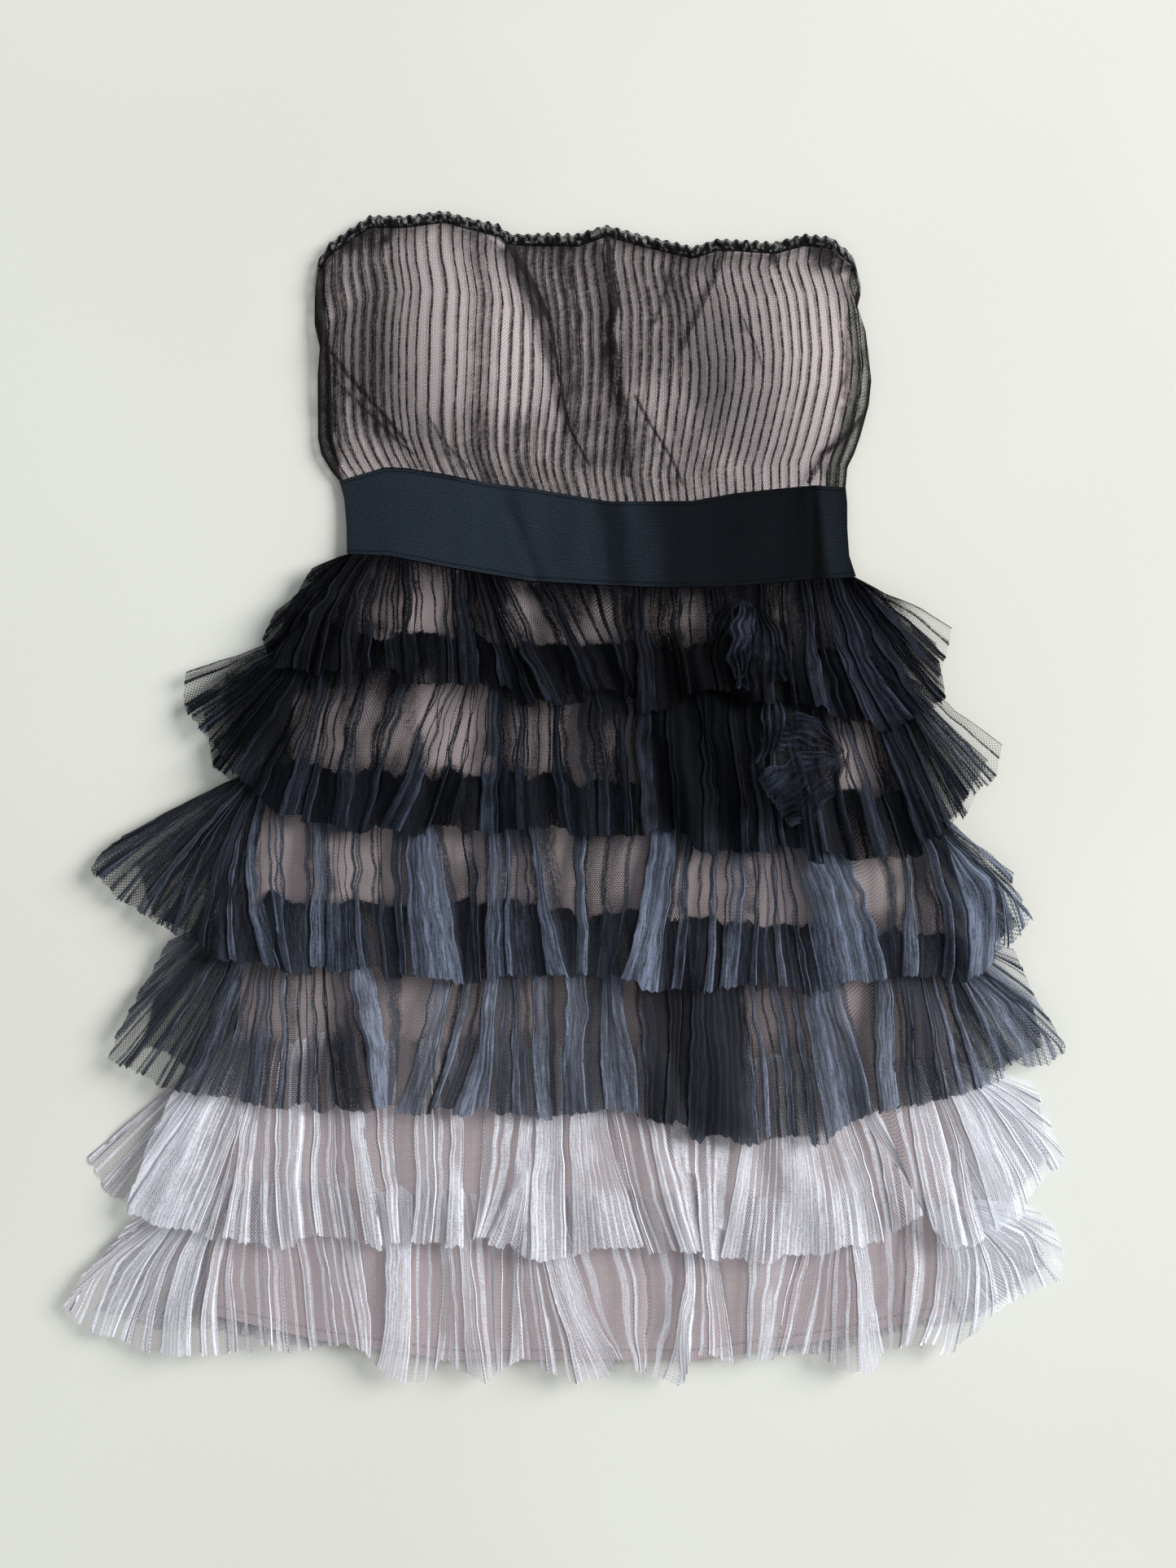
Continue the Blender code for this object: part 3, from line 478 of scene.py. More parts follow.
# The cloth in a fan, in the open parts and in the turn under a fan's edge
FAN_CLOTH = 1.2
OPEN_LENGTH = 0.9
TURN_CLOTH = 3.0
LEAST_FAN = 0.6
LEAST_GAP = 0.5
MOST_LAP = 0.42

# How high a fan lies, at least and by its lightness, and where it flattens and brightens
FAN_LIFT = 0.6
LIGHT_LIFT = 0.5
FLAT_END = 12.0
EDGE_WIDTH = 1.3

# The steps of a hem: their distance, how that varies, where they are counted from, and how sudden they are
HEM_STEP = 19.0
HEM_STEP_SHAKE = 0.35
HEM_STEP_SHAKE_LENGTH = 23.0
FIRST_HEM_STEP = 9.0
HEM_STEP_FROM = 0.42
HEM_STEP_TAKES = 0.16

# How a front tier moves from its straight form, by tier where that differs
FAN_RISE = {1: 1.9, 2: 1.9, 3: 1.5, 4: 1.3, 5: 0.65, 6: 0.65}
PLEAT_RISE = {1: 0.5, 2: 0.5, 3: 0.45, 4: 0.4, 5: 0.25, 6: 0.25}
HEM_STEPS = {1: 5.0, 2: 5.0, 3: 3.5, 4: 3.0, 5: 2.6, 6: 3.0}
RIPPLE = {1: 4.0, 2: 4.0, 3: 3.0, 4: 2.6, 5: 1.6, 6: 1.6}
SWAY = 5.0
PUFF_LENGTH = 14.0

# How many layers of net lie over each other: in front, past the side seams, in the gathers, at least and at
# most, between fans and on them, and how unevenly
FRONT_LAYERS = {1: 6.4, 2: 6.2, 3: 4.1, 4: 3.3, 5: 1.5, 6: 1.4}
SIDE_LAYERS = {1: 1.6, 2: 1.9, 3: 2.0, 4: 1.3, 5: 1.2, 6: 1.1}
GATHER_LAYERS = {1: 3.0, 2: 9.0, 3: 9.0, 4: 5.0, 5: 1.2, 6: 1.2}
LEAST_LAYERS = {1: 0.4, 2: 0.4, 3: 0.5, 4: 0.6, 5: 0.8, 6: 0.8}
MOST_LAYERS = 12.0
OPEN_CLOTH = {1: 0.85, 2: 0.8, 3: 0.65, 4: 0.55, 5: 0.6, 6: 0.6}
FAN_LAYERS = {1: 1.1, 2: 1.1, 3: 1.15, 4: 1.1, 5: 0.95, 6: 0.95}
UNEVEN_LAYERS = 1.7
PLEAT_LAYERS = (0.5, 1.5)
CLOSEST_LINES = 0.12
SIDE_WIDTH = 30.0

# The far right of every tier is sheerer: from x, over a width, by a factor
FAR_RIGHT = (190.0, 40.0, 0.6)

# Painted light on the net: at least, on fans, as a highlight along their edges, past the two side seams (the
# most on the right, towards the window), and at the head, as painted shade in the gathers of the dark tiers
# and painted light in those of the lavender tiers
LEAST_LIGHT = {1: 0.0, 2: 0.0, 3: 0.0, 4: 0.0, 5: 0.04, 6: 0.04}
FAN_LIGHT = {1: 0.44, 2: 0.52, 3: 0.62, 4: 0.67, 5: 0.46, 6: 0.50}
EDGE_LIGHT = 0.42
LEFT_LIGHT = {1: 0.0, 2: 0.0, 3: 0.0, 4: 0.1, 5: 0.55, 6: 0.16}
RIGHT_LIGHT = {1: 0.18, 2: 0.35, 3: 0.65, 4: 0.55, 5: 0.85, 6: 0.75}
HEAD_LIGHT = {1: -0.92, 2: -0.92, 3: -0.92, 4: -0.92, 5: 1.6, 6: 1.6}

# The light of streaks, how unevenly the pleats are lit, and how far down the head's light or shade reaches
DARK_LIGHT = (0.17, 0.65, 18.0)
LAVENDER_LIGHT = (0.12, 0.3, 5.0)

# The right side starts at an x, over a width. The navy tiers are in shade at their left: x, width, factor.
RIGHT_SIDE = (175.0, 60.0)
SHADED_LEFT = (-165.0, 50.0, 0.5)

# The least and most lap of one pleat over the next, and how far above the hem the net starts to fray
LAPS = {
    1: (0.05, 0.15), 2: (0.05, 0.15), 3: (0.07, 0.19), 4: (0.07, 0.19), 5: (0.07, 0.16), 6: (0.07, 0.16),
}
FRAYED_HEM = {1: 3.0, 2: 3.0, 3: 2.0, 4: 2.0, 5: 0.5, 6: 0.5}

# The random functions: how many values they run through and where they start
KNOTS = 4000
FIRST_KNOT = 37.0
AREA_KNOTS = 128
FIRST_AREA_COLUMN = 50.3
FIRST_AREA_ROW = 7.7

# The seed of each random function of the tiers, before a tier's number is added
SEEDS = {
    "sway": 30, "fans": 40, "hem steps": 60, "fine streaks": 70, "coarse streaks": 80, "hem shake": 90,
    "puffs": 95, "small puffs": 99, "gathers": 105, "laps": 110, "frayed head": 115, "pleat light": 120,
    "pleat layers": 130, "back fans": 140, "back hem steps": 160, "fine back streaks": 170,
    "coarse back streaks": 180, "ripple": 230,
}

# The nets, as settings of their materials. The linear colours are those deep in the pleats and in the light.
BLACK_NET = dict(deep=(0.004, 0.003, 0.003), lit=(0.040, 0.034, 0.036), thread=-1.05, crease=2.2)
EDGE_NET = dict(deep=(0.003, 0.003, 0.004), lit=(0.30, 0.29, 0.29), thread=-0.4, crease=3.0)
LAVENDER_NET = dict(
    deep=(0.370, 0.335, 0.360), lit=(0.875, 0.905, 1.000), thread=-0.75, layer_cover=0.36, crease=0.8,
    line=1.2, line_from=0.35, crease_light=2.0, line_light=0.42, rough=0.22,
)
TIER_NETS = {
    1: ("black_net", dict(
        deep=(0.0010, 0.0010, 0.0018), lit=(0.032, 0.038, 0.058), thread=-0.8, gloss=0.04, crease_light=1.1,
    )),
    2: ("black_net", dict(
        deep=(0.0010, 0.0014, 0.0024), lit=(0.042, 0.052, 0.080), thread=-0.8, gloss=0.05, crease_light=1.3,
    )),
    3: ("navy_net", dict(
        deep=(0.0032, 0.0040, 0.0068), lit=(0.146, 0.176, 0.250), thread=-0.7, crease=1.8,
        line=2.0, gloss=0.10, crease_light=1.9, line_light=0.04,
    )),
    4: ("navy_net", dict(
        deep=(0.0052, 0.0058, 0.0095), lit=(0.176, 0.204, 0.276), thread=-0.65, crease=1.8,
        line=2.0, gloss=0.12, crease_light=1.9, line_light=0.05,
    )),
    5: ("lavender_net", LAVENDER_NET),
    6: ("lavender_net", LAVENDER_NET),
}

# The camera's sensor in millimetres, and its height, the picture's height and the picture's middle in metres
SENSOR = 36.0
CAMERA_ABOVE = 1.30
PICTURE_HEIGHT = 0.9635
PICTURE_MIDDLE = (0.01425, 0.00625)
HALF_FLOOR = 12.0


# Ways to work with numbers and tables

def smooth(value):
    value = np.clip(value, 0.0, 1.0)
    return value * value * (3.0 - 2.0 * value)


def mix(start, end, part):
    return start + (end - start) * part


def bell(away, width):
    """Near 1 within a width, and 0 well past it."""
    return np.exp(-((away / width) ** 2))


def through(start, middle, end, part):
    """A smooth curve through three values, a half apart."""
    from_start = start * (1.0 - part) * (1.0 - 2.0 * part)
    return from_start + middle * 4.0 * part * (1.0 - part) + end * part * (2.0 * part - 1.0)


def read(table, keys, column=1):
    """Reads a column of a table whose rows are sorted by their first entry."""
    rows = np.array(table, float)
    return np.interp(keys, rows[:, 0], rows[:, column])


def uneven(values, spacing, seed):
    """A smooth random function of length along the cloth, from 0 to 1."""
    random = np.random.default_rng(seed)
    knots = random.random(KNOTS)
    place_on_knots = np.asarray(values) / spacing + FIRST_KNOT
    whole = np.floor(place_on_knots).astype(int)
    part = smooth(place_on_knots - whole)
    return mix(knots[whole % KNOTS], knots[(whole + 1) % KNOTS], part)


def uneven_area(x, drop, spacing, seed):
    """A smooth random function of place on the dress, from 0 to 1."""
    random = np.random.default_rng(seed)
    knots = random.random((AREA_KNOTS, AREA_KNOTS))
    column = np.asarray(x) / spacing + FIRST_AREA_COLUMN
    row = np.asarray(drop) / spacing + FIRST_AREA_ROW
    left = np.floor(column).astype(int)
    top = np.floor(row).astype(int)
    across = smooth(column - left)
    down = smooth(row - top)
    left, right, top, bottom = (place % AREA_KNOTS for place in (left, left + 1, top, top + 1))
    upper = mix(knots[top, left], knots[top, right], across)
    lower = mix(knots[bottom, left], knots[bottom, right], across)
    return mix(upper, lower, down)


def shake(values, amount, spacing, seed):
    """A smooth random amount to both sides of zero, along the cloth."""
    return amount * (uneven(values, spacing, seed) - 0.5)


def shake_area(x, drop, amount, spacing, seed):
    """A smooth random amount to both sides of zero, over the dress."""
    return amount * (uneven_area(x, drop, spacing, seed) - 0.5)


def streaks(values, fine, coarse, fine_seed, coarse_seed):
    """Fine and coarse streaks together, from 0 to 1."""
    return 0.5 * uneven(values, fine, fine_seed) + 0.5 * uneven(values, coarse, coarse_seed)


def each_pleat(count, least, most, seed):
    """A value of its own for each pleat."""
    values = np.random.default_rng(seed).uniform(least, most, count // PLEAT_COLUMNS + 1)
    return values[np.arange(count) // PLEAT_COLUMNS][None, :]


def seed_of(purpose, tier):
    return SEEDS[purpose] + tier


def inside_patch(x, drop, left, right, top, bottom, soft_across=4.0, soft_down=8.0):
    """How far a point is inside a patch with soft edges, from 0 to 1."""
    across = smooth((x - left + soft_across) / (2.0 * soft_across))
    across = across * smooth((right + soft_across - x) / (2.0 * soft_across))
    down = smooth((drop - top + soft_down) / (2.0 * soft_down))
    down = down * smooth((bottom + soft_down - drop) / (2.0 * soft_down))
    return across * down


def patch_factors(tier, x, drop):
    """How much the patches of a tier change its layers and its painted light."""
    layers = 1.0 + 0.0 * x
    light = 1.0 + 0.0 * x
    x = x + shake_area(x, drop, 9.0, 14.0, 5) + shake_area(x, drop, 5.0, 5.0, 6)
    drop = drop + shake_area(x, drop, 12.0, 11.0, 7)
    for left, right, top, bottom, layer_factor, light_factor in PATCHES[tier]:
        inside = inside_patch(x, drop, left, right, top, bottom)
        if layer_factor < 1.0:
            layer_factor = layer_factor ** OPEN_PATCHES
        layers = layers * layer_factor ** inside
        light = light * light_factor ** inside
    return layers, light


def spread(count, rows):
    """Even places across a piece and down it, from 0 to 1."""
    return np.linspace(0.0, 1.0, count)[None, :], np.linspace(0.0, 1.0, rows)[:, None]


def pleat_phase(count):
    """Which pleat each column is in, counted from the left end."""
    return np.arange(count)[None, :] / PLEAT_COLUMNS


def pleat_zigzag(count):
    """The way the cloth stands up and down from column to column."""
    return np.array(ZIGZAG)[np.arange(count) % PLEAT_COLUMNS][None, :]


# Meshes

def from_dress(x, drop, height):
    """A point of the dress in metres."""
    return x * MM, (DRESS_LENGTH / 2.0 - drop) * MM, height * MM


def add_piece(name, points, faces, material):
    mesh = bpy.data.meshes.new(name)
    mesh.from_pydata(points, [], faces)
    mesh.materials.append(material)
    piece = bpy.data.objects.new(name, mesh)
    bpy.context.collection.objects.link(piece)
    return piece


def grid_piece(name, x, drop, height, u, v, material, fields=None):
    """One sheet from a grid of points, with its own lengths across and down the cloth as its map."""
    rows, columns = x.shape
    points = np.stack(from_dress(x, drop, height), axis=-1).reshape(-1, 3)
    first = (np.arange(rows - 1)[:, None] * columns + np.arange(columns - 1)[None, :]).ravel()
    faces = np.stack([first, first + columns, first + columns + 1, first + 1], axis=1)
    piece = add_piece(name, points.tolist(), faces.tolist(), material)
    mesh = piece.data
    layer = mesh.uv_layers.new(name="cloth")
    flat_map = np.stack([(u + 0.0 * x).ravel(), (v + 0.0 * x).ravel()], axis=1)
    layer.data.foreach_set("uv", (flat_map[faces.ravel()] * MM).astype(np.float32).ravel())
    for field, values in (fields or {}).items():
        attribute = mesh.attributes.new(field, "FLOAT", "POINT")
        whole_grid = np.ascontiguousarray(values + 0.0 * x, dtype=np.float32)
        attribute.data.foreach_set("value", whole_grid.ravel())
    mesh.shade_smooth()
    mesh.update()
    return piece


def stands_for(piece, node):
    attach(piece, "root")
    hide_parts(node)


def declare_sheet(length):
    """Takes a piece's length down the dress and turns it into metres; the value is not kept or used."""
    length = length * MM


# Materials

class Cloth:
    """A material and short ways to add nodes to it."""

    def __init__(self, name, roughness, sheen=0.0, specular=0.3):
        self.material = bpy.data.materials.new(name)
        self.material.use_nodes = True
        self.tree = self.material.node_tree
        self.surface = self.tree.nodes["Principled BSDF"]
        self.surface.inputs["Roughness"].default_value = roughness
        self.surface.inputs["Sheen Weight"].default_value = sheen
        self.surface.inputs["Specular IOR Level"].default_value = specular

    def node(self, kind, inputs=(), **settings):
        made = self.tree.nodes.new(kind)
        for setting, value in settings.items():
            setattr(made, setting, value)
        for socket, value in dict(inputs).items():
            self.feed(made.inputs[socket], value)
        return made

    def feed(self, socket, value):
        if isinstance(value, bpy.types.NodeSocket):
            self.tree.links.new(value, socket)
        else:
            socket.default_value = value

    def paint(self, tint):
        self.feed(self.surface.inputs["Base Color"], tint)

    def math(self, operation, first, second=0.0, clamp=False):
        made = self.node("ShaderNodeMath", {0: first, 1: second}, operation=operation)
        made.use_clamp = clamp
        return made.outputs[0]

    def plus(self, first, second, clamp=False):
        return self.math("ADD", first, second, clamp)

    def minus(self, first, second):
        return self.math("SUBTRACT", first, second)

    def times(self, first, second, clamp=False):
        return self.math("MULTIPLY", first, second, clamp)

    def distance(self, first, second):
        return self.math("ABSOLUTE", self.minus(first, second))

    def scale(self, value, low, high, to_low=0.0, to_high=1.0):
        """Turns low to high into another range, with eased ends."""
        limits = {"Value": value, "From Min": low, "From Max": high, "To Min": to_low, "To Max": to_high}
        return self.node("ShaderNodeMapRange", limits, interpolation_type="SMOOTHSTEP").outputs[0]

    def blend(self, amount, first, second):
        made = self.node("ShaderNodeMix", data_type="RGBA")
        self.feed(made.inputs["Factor"], amount)
        self.feed(made.inputs[6], first)
        self.feed(made.inputs[7], second)
        return made.outputs[2]

    def field(self, name):
        made = self.node("ShaderNodeAttribute", attribute_name=name, attribute_type="GEOMETRY")
        return made.outputs["Fac"]

    def cloth_map(self):
        return self.node("ShaderNodeUVMap", uv_map="cloth").outputs[0]

    def place(self):
        return self.node("ShaderNodeTexCoord").outputs["Object"]

    def across_and_down(self, vector):
        made = self.node("ShaderNodeSeparateXYZ", {0: vector})
        return made.outputs[0], made.outputs[1]

    def noise(self, vector, scale, detail=2.0, stretch=(1.0, 1.0, 1.0)):
        stretched = self.node("ShaderNodeVectorMath", {0: vector, 1: stretch}, operation="MULTIPLY")
        inputs = {"Vector": stretched.outputs[0], "Scale": scale, "Detail": detail}
        return self.node("ShaderNodeTexNoise", inputs).outputs[0]

    def waves(self, vector, direction):
        dot = self.node("ShaderNodeVectorMath", {0: vector, 1: direction}, operation="DOT_PRODUCT")
        return self.math("COSINE", dot.outputs["Value"])

    def bump(self, height, strength, distance):
        made = self.node("ShaderNodeBump", {"Height": height, "Strength": strength, "Distance": distance})
        self.tree.links.new(made.outputs[0], self.surface.inputs["Normal"])


def colour(red, green, blue):
    return (red, green, blue, 1.0)


def darker(shade, part):
    return colour(*(part * value for value in shade))


# The net's mesh: the distance between its holes in metres, and how softly a thread ends
MESH_PITCH = 0.00135
THREAD_EDGE = 0.35

# Random marks in the net: scale, detail and stretch
GRAIN = (1100.0, 3.0, (1.0, 0.07, 1.0))
SPECKLE = (620.0, 3.0, (1.0, 0.8, 1.0))
FIBRES = (1500.0, 3.0, (1.0, 0.5, 1.0))

# What the marks do: a low and a high mark, and the factor for each
GRAIN_IN_LAYERS = (0.30, 0.70, 0.35, 1.75)
SPECKLE_IN_LAYERS = (0.30, 0.70, 0.5, 1.55)

# A crease starts this far from the middle of a pleat and is full soon after. A wide lap brings both nearer.
CREASE_START = 0.47
CREASE_FULL = 0.49
LAP_AT_START = 1.25
LAP_AT_FULL = 0.6
LINE_EDGE = 0.05

# Cloth that isn't whole is gone where its fibres are weaker than it
FIBRE_STRENGTH = 1.6
TORN_EDGE = (-0.15, 0.25)


def net_threads(cloth, vector, thread):
    """How much thread there is at a place in the hexagonal mesh, from 0 in its holes to 1."""
    turn = 2.0 * math.pi / (MESH_PITCH * math.sqrt(3.0) / 2.0)
    slope = turn * math.cos(math.radians(30.0))
    first = cloth.waves(vector, (slope, turn / 2.0, 0.0))
    second = cloth.waves(vector, (0.0, turn, 0.0))
    third = cloth.waves(vector, (-slope, turn / 2.0, 0.0))
    holes = cloth.plus(cloth.plus(first, second), third)
    return cloth.scale(holes, thread + THREAD_EDGE, thread - THREAD_EDGE)


def net_material(
    name, deep, lit, thread, layer_cover=0.42, crease=1.6, line=3.0, line_from=0.42, gloss=0.06,
    crease_light=1.0, line_light=0.0, rough=0.5,
):
    """Hexagonal net: holes, further layers behind them, darker creases along the pleats, and painted light
    and shade, with painted highlights on its crease lines.
    """
    cloth = Cloth(name, roughness=0.7, sheen=gloss / 3.0, specular=gloss)
    vector = cloth.cloth_map()
    threads = net_threads(cloth, vector, thread)
    from_crease = cloth.distance(cloth.math("FRACT", cloth.field("pleat")), 0.5)
    lap = cloth.field("lap")
    crease_starts = cloth.minus(CREASE_START, cloth.times(lap, LAP_AT_START))
    crease_full = cloth.minus(CREASE_FULL, cloth.times(lap, LAP_AT_FULL))
    creased = cloth.scale(from_crease, crease_starts, crease_full)
    lined = cloth.scale(from_crease, line_from, line_from + LINE_EDGE)
    grain = cloth.noise(vector, *GRAIN)
    speckle = cloth.noise(vector, *SPECKLE)
    threads = cloth.times(threads, cloth.math("MINIMUM", cloth.field("layers"), 1.0))
    layers = cloth.plus(cloth.field("layers"), cloth.times(creased, crease))
    layers = cloth.plus(layers, cloth.times(lined, line))
    behind = cloth.math("MAXIMUM", cloth.minus(layers, 1.0), 0.0)
    behind = cloth.times(behind, cloth.scale(grain, *GRAIN_IN_LAYERS))
    behind = cloth.times(behind, cloth.scale(speckle, *SPECKLE_IN_LAYERS))
    see_through = cloth.math("POWER", 1.0 - layer_cover, behind)
    open_part = cloth.times(cloth.minus(1.0, threads), see_through)
    torn = cloth.minus(cloth.times(cloth.field("whole"), FIBRE_STRENGTH), cloth.noise(vector, *FIBRES))
    alpha = cloth.times(cloth.minus(1.0, open_part), cloth.scale(torn, *TORN_EDGE))
    # Painted light and shade: the lit field, roughened by grain and speckle, blends the deep colour into the
    # lit one, and the crease lines get painted highlights.
    light = cloth.times(cloth.field("lit"), cloth.scale(grain, 0.28, 0.72, 1.0 - 1.2 * rough, 1.0 + rough))
    light = cloth.times(light, cloth.scale(speckle, 0.3, 0.7, 1.0 - 0.4 * rough, 1.0 + 0.3 * rough))
    light = cloth.times(light, cloth.scale(lined, 0.0, 1.0, 1.0, crease_light))
    light = cloth.plus(light, cloth.times(lined, line_light), clamp=True)
    cloth.paint(cloth.blend(light, colour(*deep), colour(*lit)))
    cloth.feed(cloth.surface.inputs["Alpha"], alpha)
    cloth.bump(grain, 0.6 * rough, 0.0004)
    return cloth.material


# Jersey: the width of a stitch and of a hem stitch in metres, and how far its hem's seam is up in millimetres
STITCH = 0.0011
HEM_STITCH = 0.003
HEM_SEAM_ABOVE = 6.0
HEM_SEAM_EDGE = (1.1, 0.4)


def knit_material(name, shade, hemmed=False):
    """Fine jersey: columns of stitches, a soft nap and slow changes of shade."""
    cloth = Cloth(name, roughness=0.85, sheen=0.35, specular=0.2)
    vector = cloth.cloth_map()
    across, down = cloth.across_and_down(vector)
    turn = 2.0 * math.pi / STITCH
    columns = cloth.math("ABSOLUTE", cloth.math("SINE", cloth.times(across, turn / 2.0)))
    legs = cloth.times(columns, 2.2)
    rows = cloth.math("SINE", cloth.plus(cloth.times(down, turn * 1.1), legs))
    stitches = cloth.plus(cloth.times(rows, 0.5), columns)
    slow = cloth.noise(vector, 22.0, 3.0)
    fine = cloth.noise(vector, 700.0)
    dark = darker(shade, 0.70)
    tint = cloth.blend(cloth.scale(stitches, -0.3, 1.3), dark, colour(*shade))
    tint = cloth.blend(cloth.scale(slow, 0.3, 0.7, 0.0, 0.22), tint, dark)
    tint = cloth.blend(cloth.scale(fine, 0.35, 0.7, 0.0, 0.18), tint, dark)
    if hemmed:
        from_seam = cloth.distance(cloth.field("above_hem"), HEM_SEAM_ABOVE)
        loops = cloth.math("SINE", cloth.times(across, 2.0 * math.pi / HEM_STITCH))
        seam = cloth.times(cloth.scale(from_seam, *HEM_SEAM_EDGE), cloth.scale(loops, -0.8, 0.6, 0.35, 0.8))
        tint = cloth.blend(seam, tint, darker(shade, 0.45))
    cloth.paint(tint)
    cloth.bump(stitches, 0.5, 0.0002)
    return cloth.material


# Elastic, in metres: the width of a rib and of a weft thread, and how far its two stitched lines are from
# its middle
ELASTIC_RIB = 0.0011
ELASTIC_WEFT = 0.0009
ELASTIC_MIDDLE = 0.025
STITCH_LINE_STARTS = (0.0222, 0.0228)
STITCH_LINE_ENDS = (0.0236, 0.0230)
# The elastic's colours in painted shade and in painted sheen, of its light specks and of its stitched seams
ELASTIC_DEEP = colour(0.0010, 0.0014, 0.0018)
ELASTIC_LIT = colour(0.0215, 0.0325, 0.0480)
ELASTIC_SPECK = colour(0.034, 0.042, 0.054)
ELASTIC_SEAM = colour(0.0008, 0.0010, 0.0013)


def elastic_material(name):
    """Ribbed woven elastic: fine ribs along it, a finer weave across them, and a painted sheen and painted
    shade on its faces.
    """
    cloth = Cloth(name, roughness=0.75, sheen=0.02, specular=0.05)
    vector = cloth.cloth_map()
    across, down = cloth.across_and_down(vector)
    ribs = cloth.math("SINE", cloth.times(down, 2.0 * math.pi / ELASTIC_RIB))
    weave = cloth.math("SINE", cloth.times(across, 2.0 * math.pi / ELASTIC_WEFT))
    cords = cloth.plus(ribs, cloth.times(weave, 0.45))
    slow = cloth.noise(vector, 16.0, 3.0, (1.0, 0.25, 1.0))
    fine = cloth.noise(vector, 800.0)
    from_middle = cloth.distance(down, ELASTIC_MIDDLE)
    line_starts = cloth.scale(from_middle, *STITCH_LINE_STARTS)
    stitched = cloth.times(line_starts, cloth.scale(from_middle, *STITCH_LINE_ENDS))
    # The shade field, with slow random tone, is the painted sheen and shade; the light specks show in the
    # painted sheen.
    sheen_and_shade = cloth.times(cloth.field("shade"), cloth.scale(slow, 0.3, 0.7, 0.75, 1.2), clamp=True)
    cord_light = cloth.times(sheen_and_shade, cloth.scale(cords, -1.2, 1.4, 0.45, 1.25))
    tint = cloth.blend(cord_light, ELASTIC_DEEP, ELASTIC_LIT)
    speck = cloth.times(cloth.scale(fine, 0.4, 0.7, 0.0, 0.5), sheen_and_shade)
    tint = cloth.blend(speck, tint, ELASTIC_SPECK)
    cloth.paint(cloth.blend(cloth.times(stitched, 0.6), tint, ELASTIC_SEAM))
    cloth.bump(cords, 0.5, 0.0002)
    return cloth.material


def foam_material(name):
    """Moulded foam: fine cells, and slow changes of shade."""
    cloth = Cloth(name, roughness=0.9, sheen=0.2, specular=0.15)
    vector = cloth.place()
    cells = cloth.noise(vector, 900.0, 3.0)
    slow = cloth.noise(vector, 20.0)
    tint = cloth.blend(cloth.scale(cells, 0.3, 0.7), colour(0.50, 0.39, 0.39), colour(0.62, 0.50, 0.50))
    cloth.paint(cloth.blend(cloth.scale(slow, 0.3, 0.7, 0.0, 0.3), tint, colour(0.52, 0.42, 0.40)))
    cloth.bump(cells, 0.4, 0.0002)
    return cloth.material


# The form of the tiers

def seam_drop(tier, x):
    if tier == 1:
        return read(WAIST_BOTTOM, x) + SEAM_GAP
    left_x, left_drop, middle_drop, right_x, right_drop = TIER_SEAMS[tier]
    across = (x - left_x) / (right_x - left_x)
    sag = middle_drop - (left_drop + right_drop) / 2.0
    inside = np.maximum(across * (1.0 - across), 0.0)
    return mix(left_drop, right_drop, across) + 4.0 * sag * inside


def outside_lining(x, drop):
    return np.maximum(np.maximum(read(LINING_LEFT, drop) - x, x - read(LINING_RIGHT, drop)), 0.0)


def tier_rise(tier, x, drop):
    return read(TIER_RISES[tier], np.maximum(drop - seam_drop(tier, x), 0.0))


def bundle_rise(tier, hem_x):
    rise = 0.0 * hem_x
    for own_tier, x, half_width, height in BUNDLES:
        if own_tier == tier:
            rise += height * bell(hem_x - x, half_width)
    return rise


def crumple_rise(tier, x, drop):
    """The net stands up in a mound on the first tier, and in a ring on the second."""
    if tier not in CRUMPLES:
        return 0.0 * x
    centre_x, centre_drop, half_width, half_length, rise, ring, ring_width = CRUMPLES[tier]
    reach = np.hypot((x - centre_x) / half_width, (drop - centre_drop) / half_length)
    return rise * bell(reach - ring, ring_width)


def front_tier_height(tier, x, drop, hem_x, across, down):
    out = outside_lining(x, drop)
    sunk = smooth((out - SINK_FROM) / (SINK_TO - SINK_FROM))
    base = mix(FRONT_RUFFLES, SIDE_RUFFLES, sunk)
    flatter = mix(1.0, RISE_AT_SIDES, smooth((out - FLATTER_FROM) / (FLATTER_TO - FLATTER_FROM)))
    rise = tier_rise(tier, x, drop)
    wave_share, bundle_share = LAVENDER_SHARES if tier in LAVENDER_TIERS else (1.0, 1.0)
    wave = mix(WAVE_AT_SEAM, WAVE_AT_HEM, down) * np.cos(2.0 * math.pi * FRONT_WAVES * across) * wave_share
    ease_in = np.minimum(down * EASE_IN, 1.0)
    raised = down * bundle_rise(tier, hem_x) * bundle_share + ease_in * crumple_rise(tier, x, drop)
    return base + WAVE_AT_SEAM + flatter * (rise + np.maximum(wave + raised, -rise))


class Hem:
    """A tier's natural lines, which run straight from its seam to its hem, by their place along the hem."""

    def __init__(self, tier, outline):
        self.tier = tier
        self.table = np.array(outline, float)
        steps = np.hypot(np.diff(self.table[:, 1]), np.diff(self.table[:, 2]))
        self.places = np.concatenate([[0.0], np.cumsum(steps)])
        self.length = self.places[-1]

    def ends(self, u):
        seam_x = np.interp(u, self.places, self.table[:, 0])
        hem_x = np.interp(u, self.places, self.table[:, 1])
        hem_drop = np.interp(u, self.places, self.table[:, 2])
        return seam_x, hem_x, hem_drop

    def point(self, u, down):
        seam_x, hem_x, hem_drop = self.ends(u)
        return mix(seam_x, hem_x, down), mix(seam_drop(self.tier, seam_x), hem_drop, down)

    def place_at(self, x, down):
        """The natural line that passes through x at a part of the way down."""
        first = int(np.argmin(self.table[:, 1]))
        last = int(np.argmax(self.table[:, 1]))
        u = np.linspace(self.places[first], self.places[last], HEM_SAMPLES)
        return np.interp(x, self.point(u, down)[0], u)


# The fans of pleats

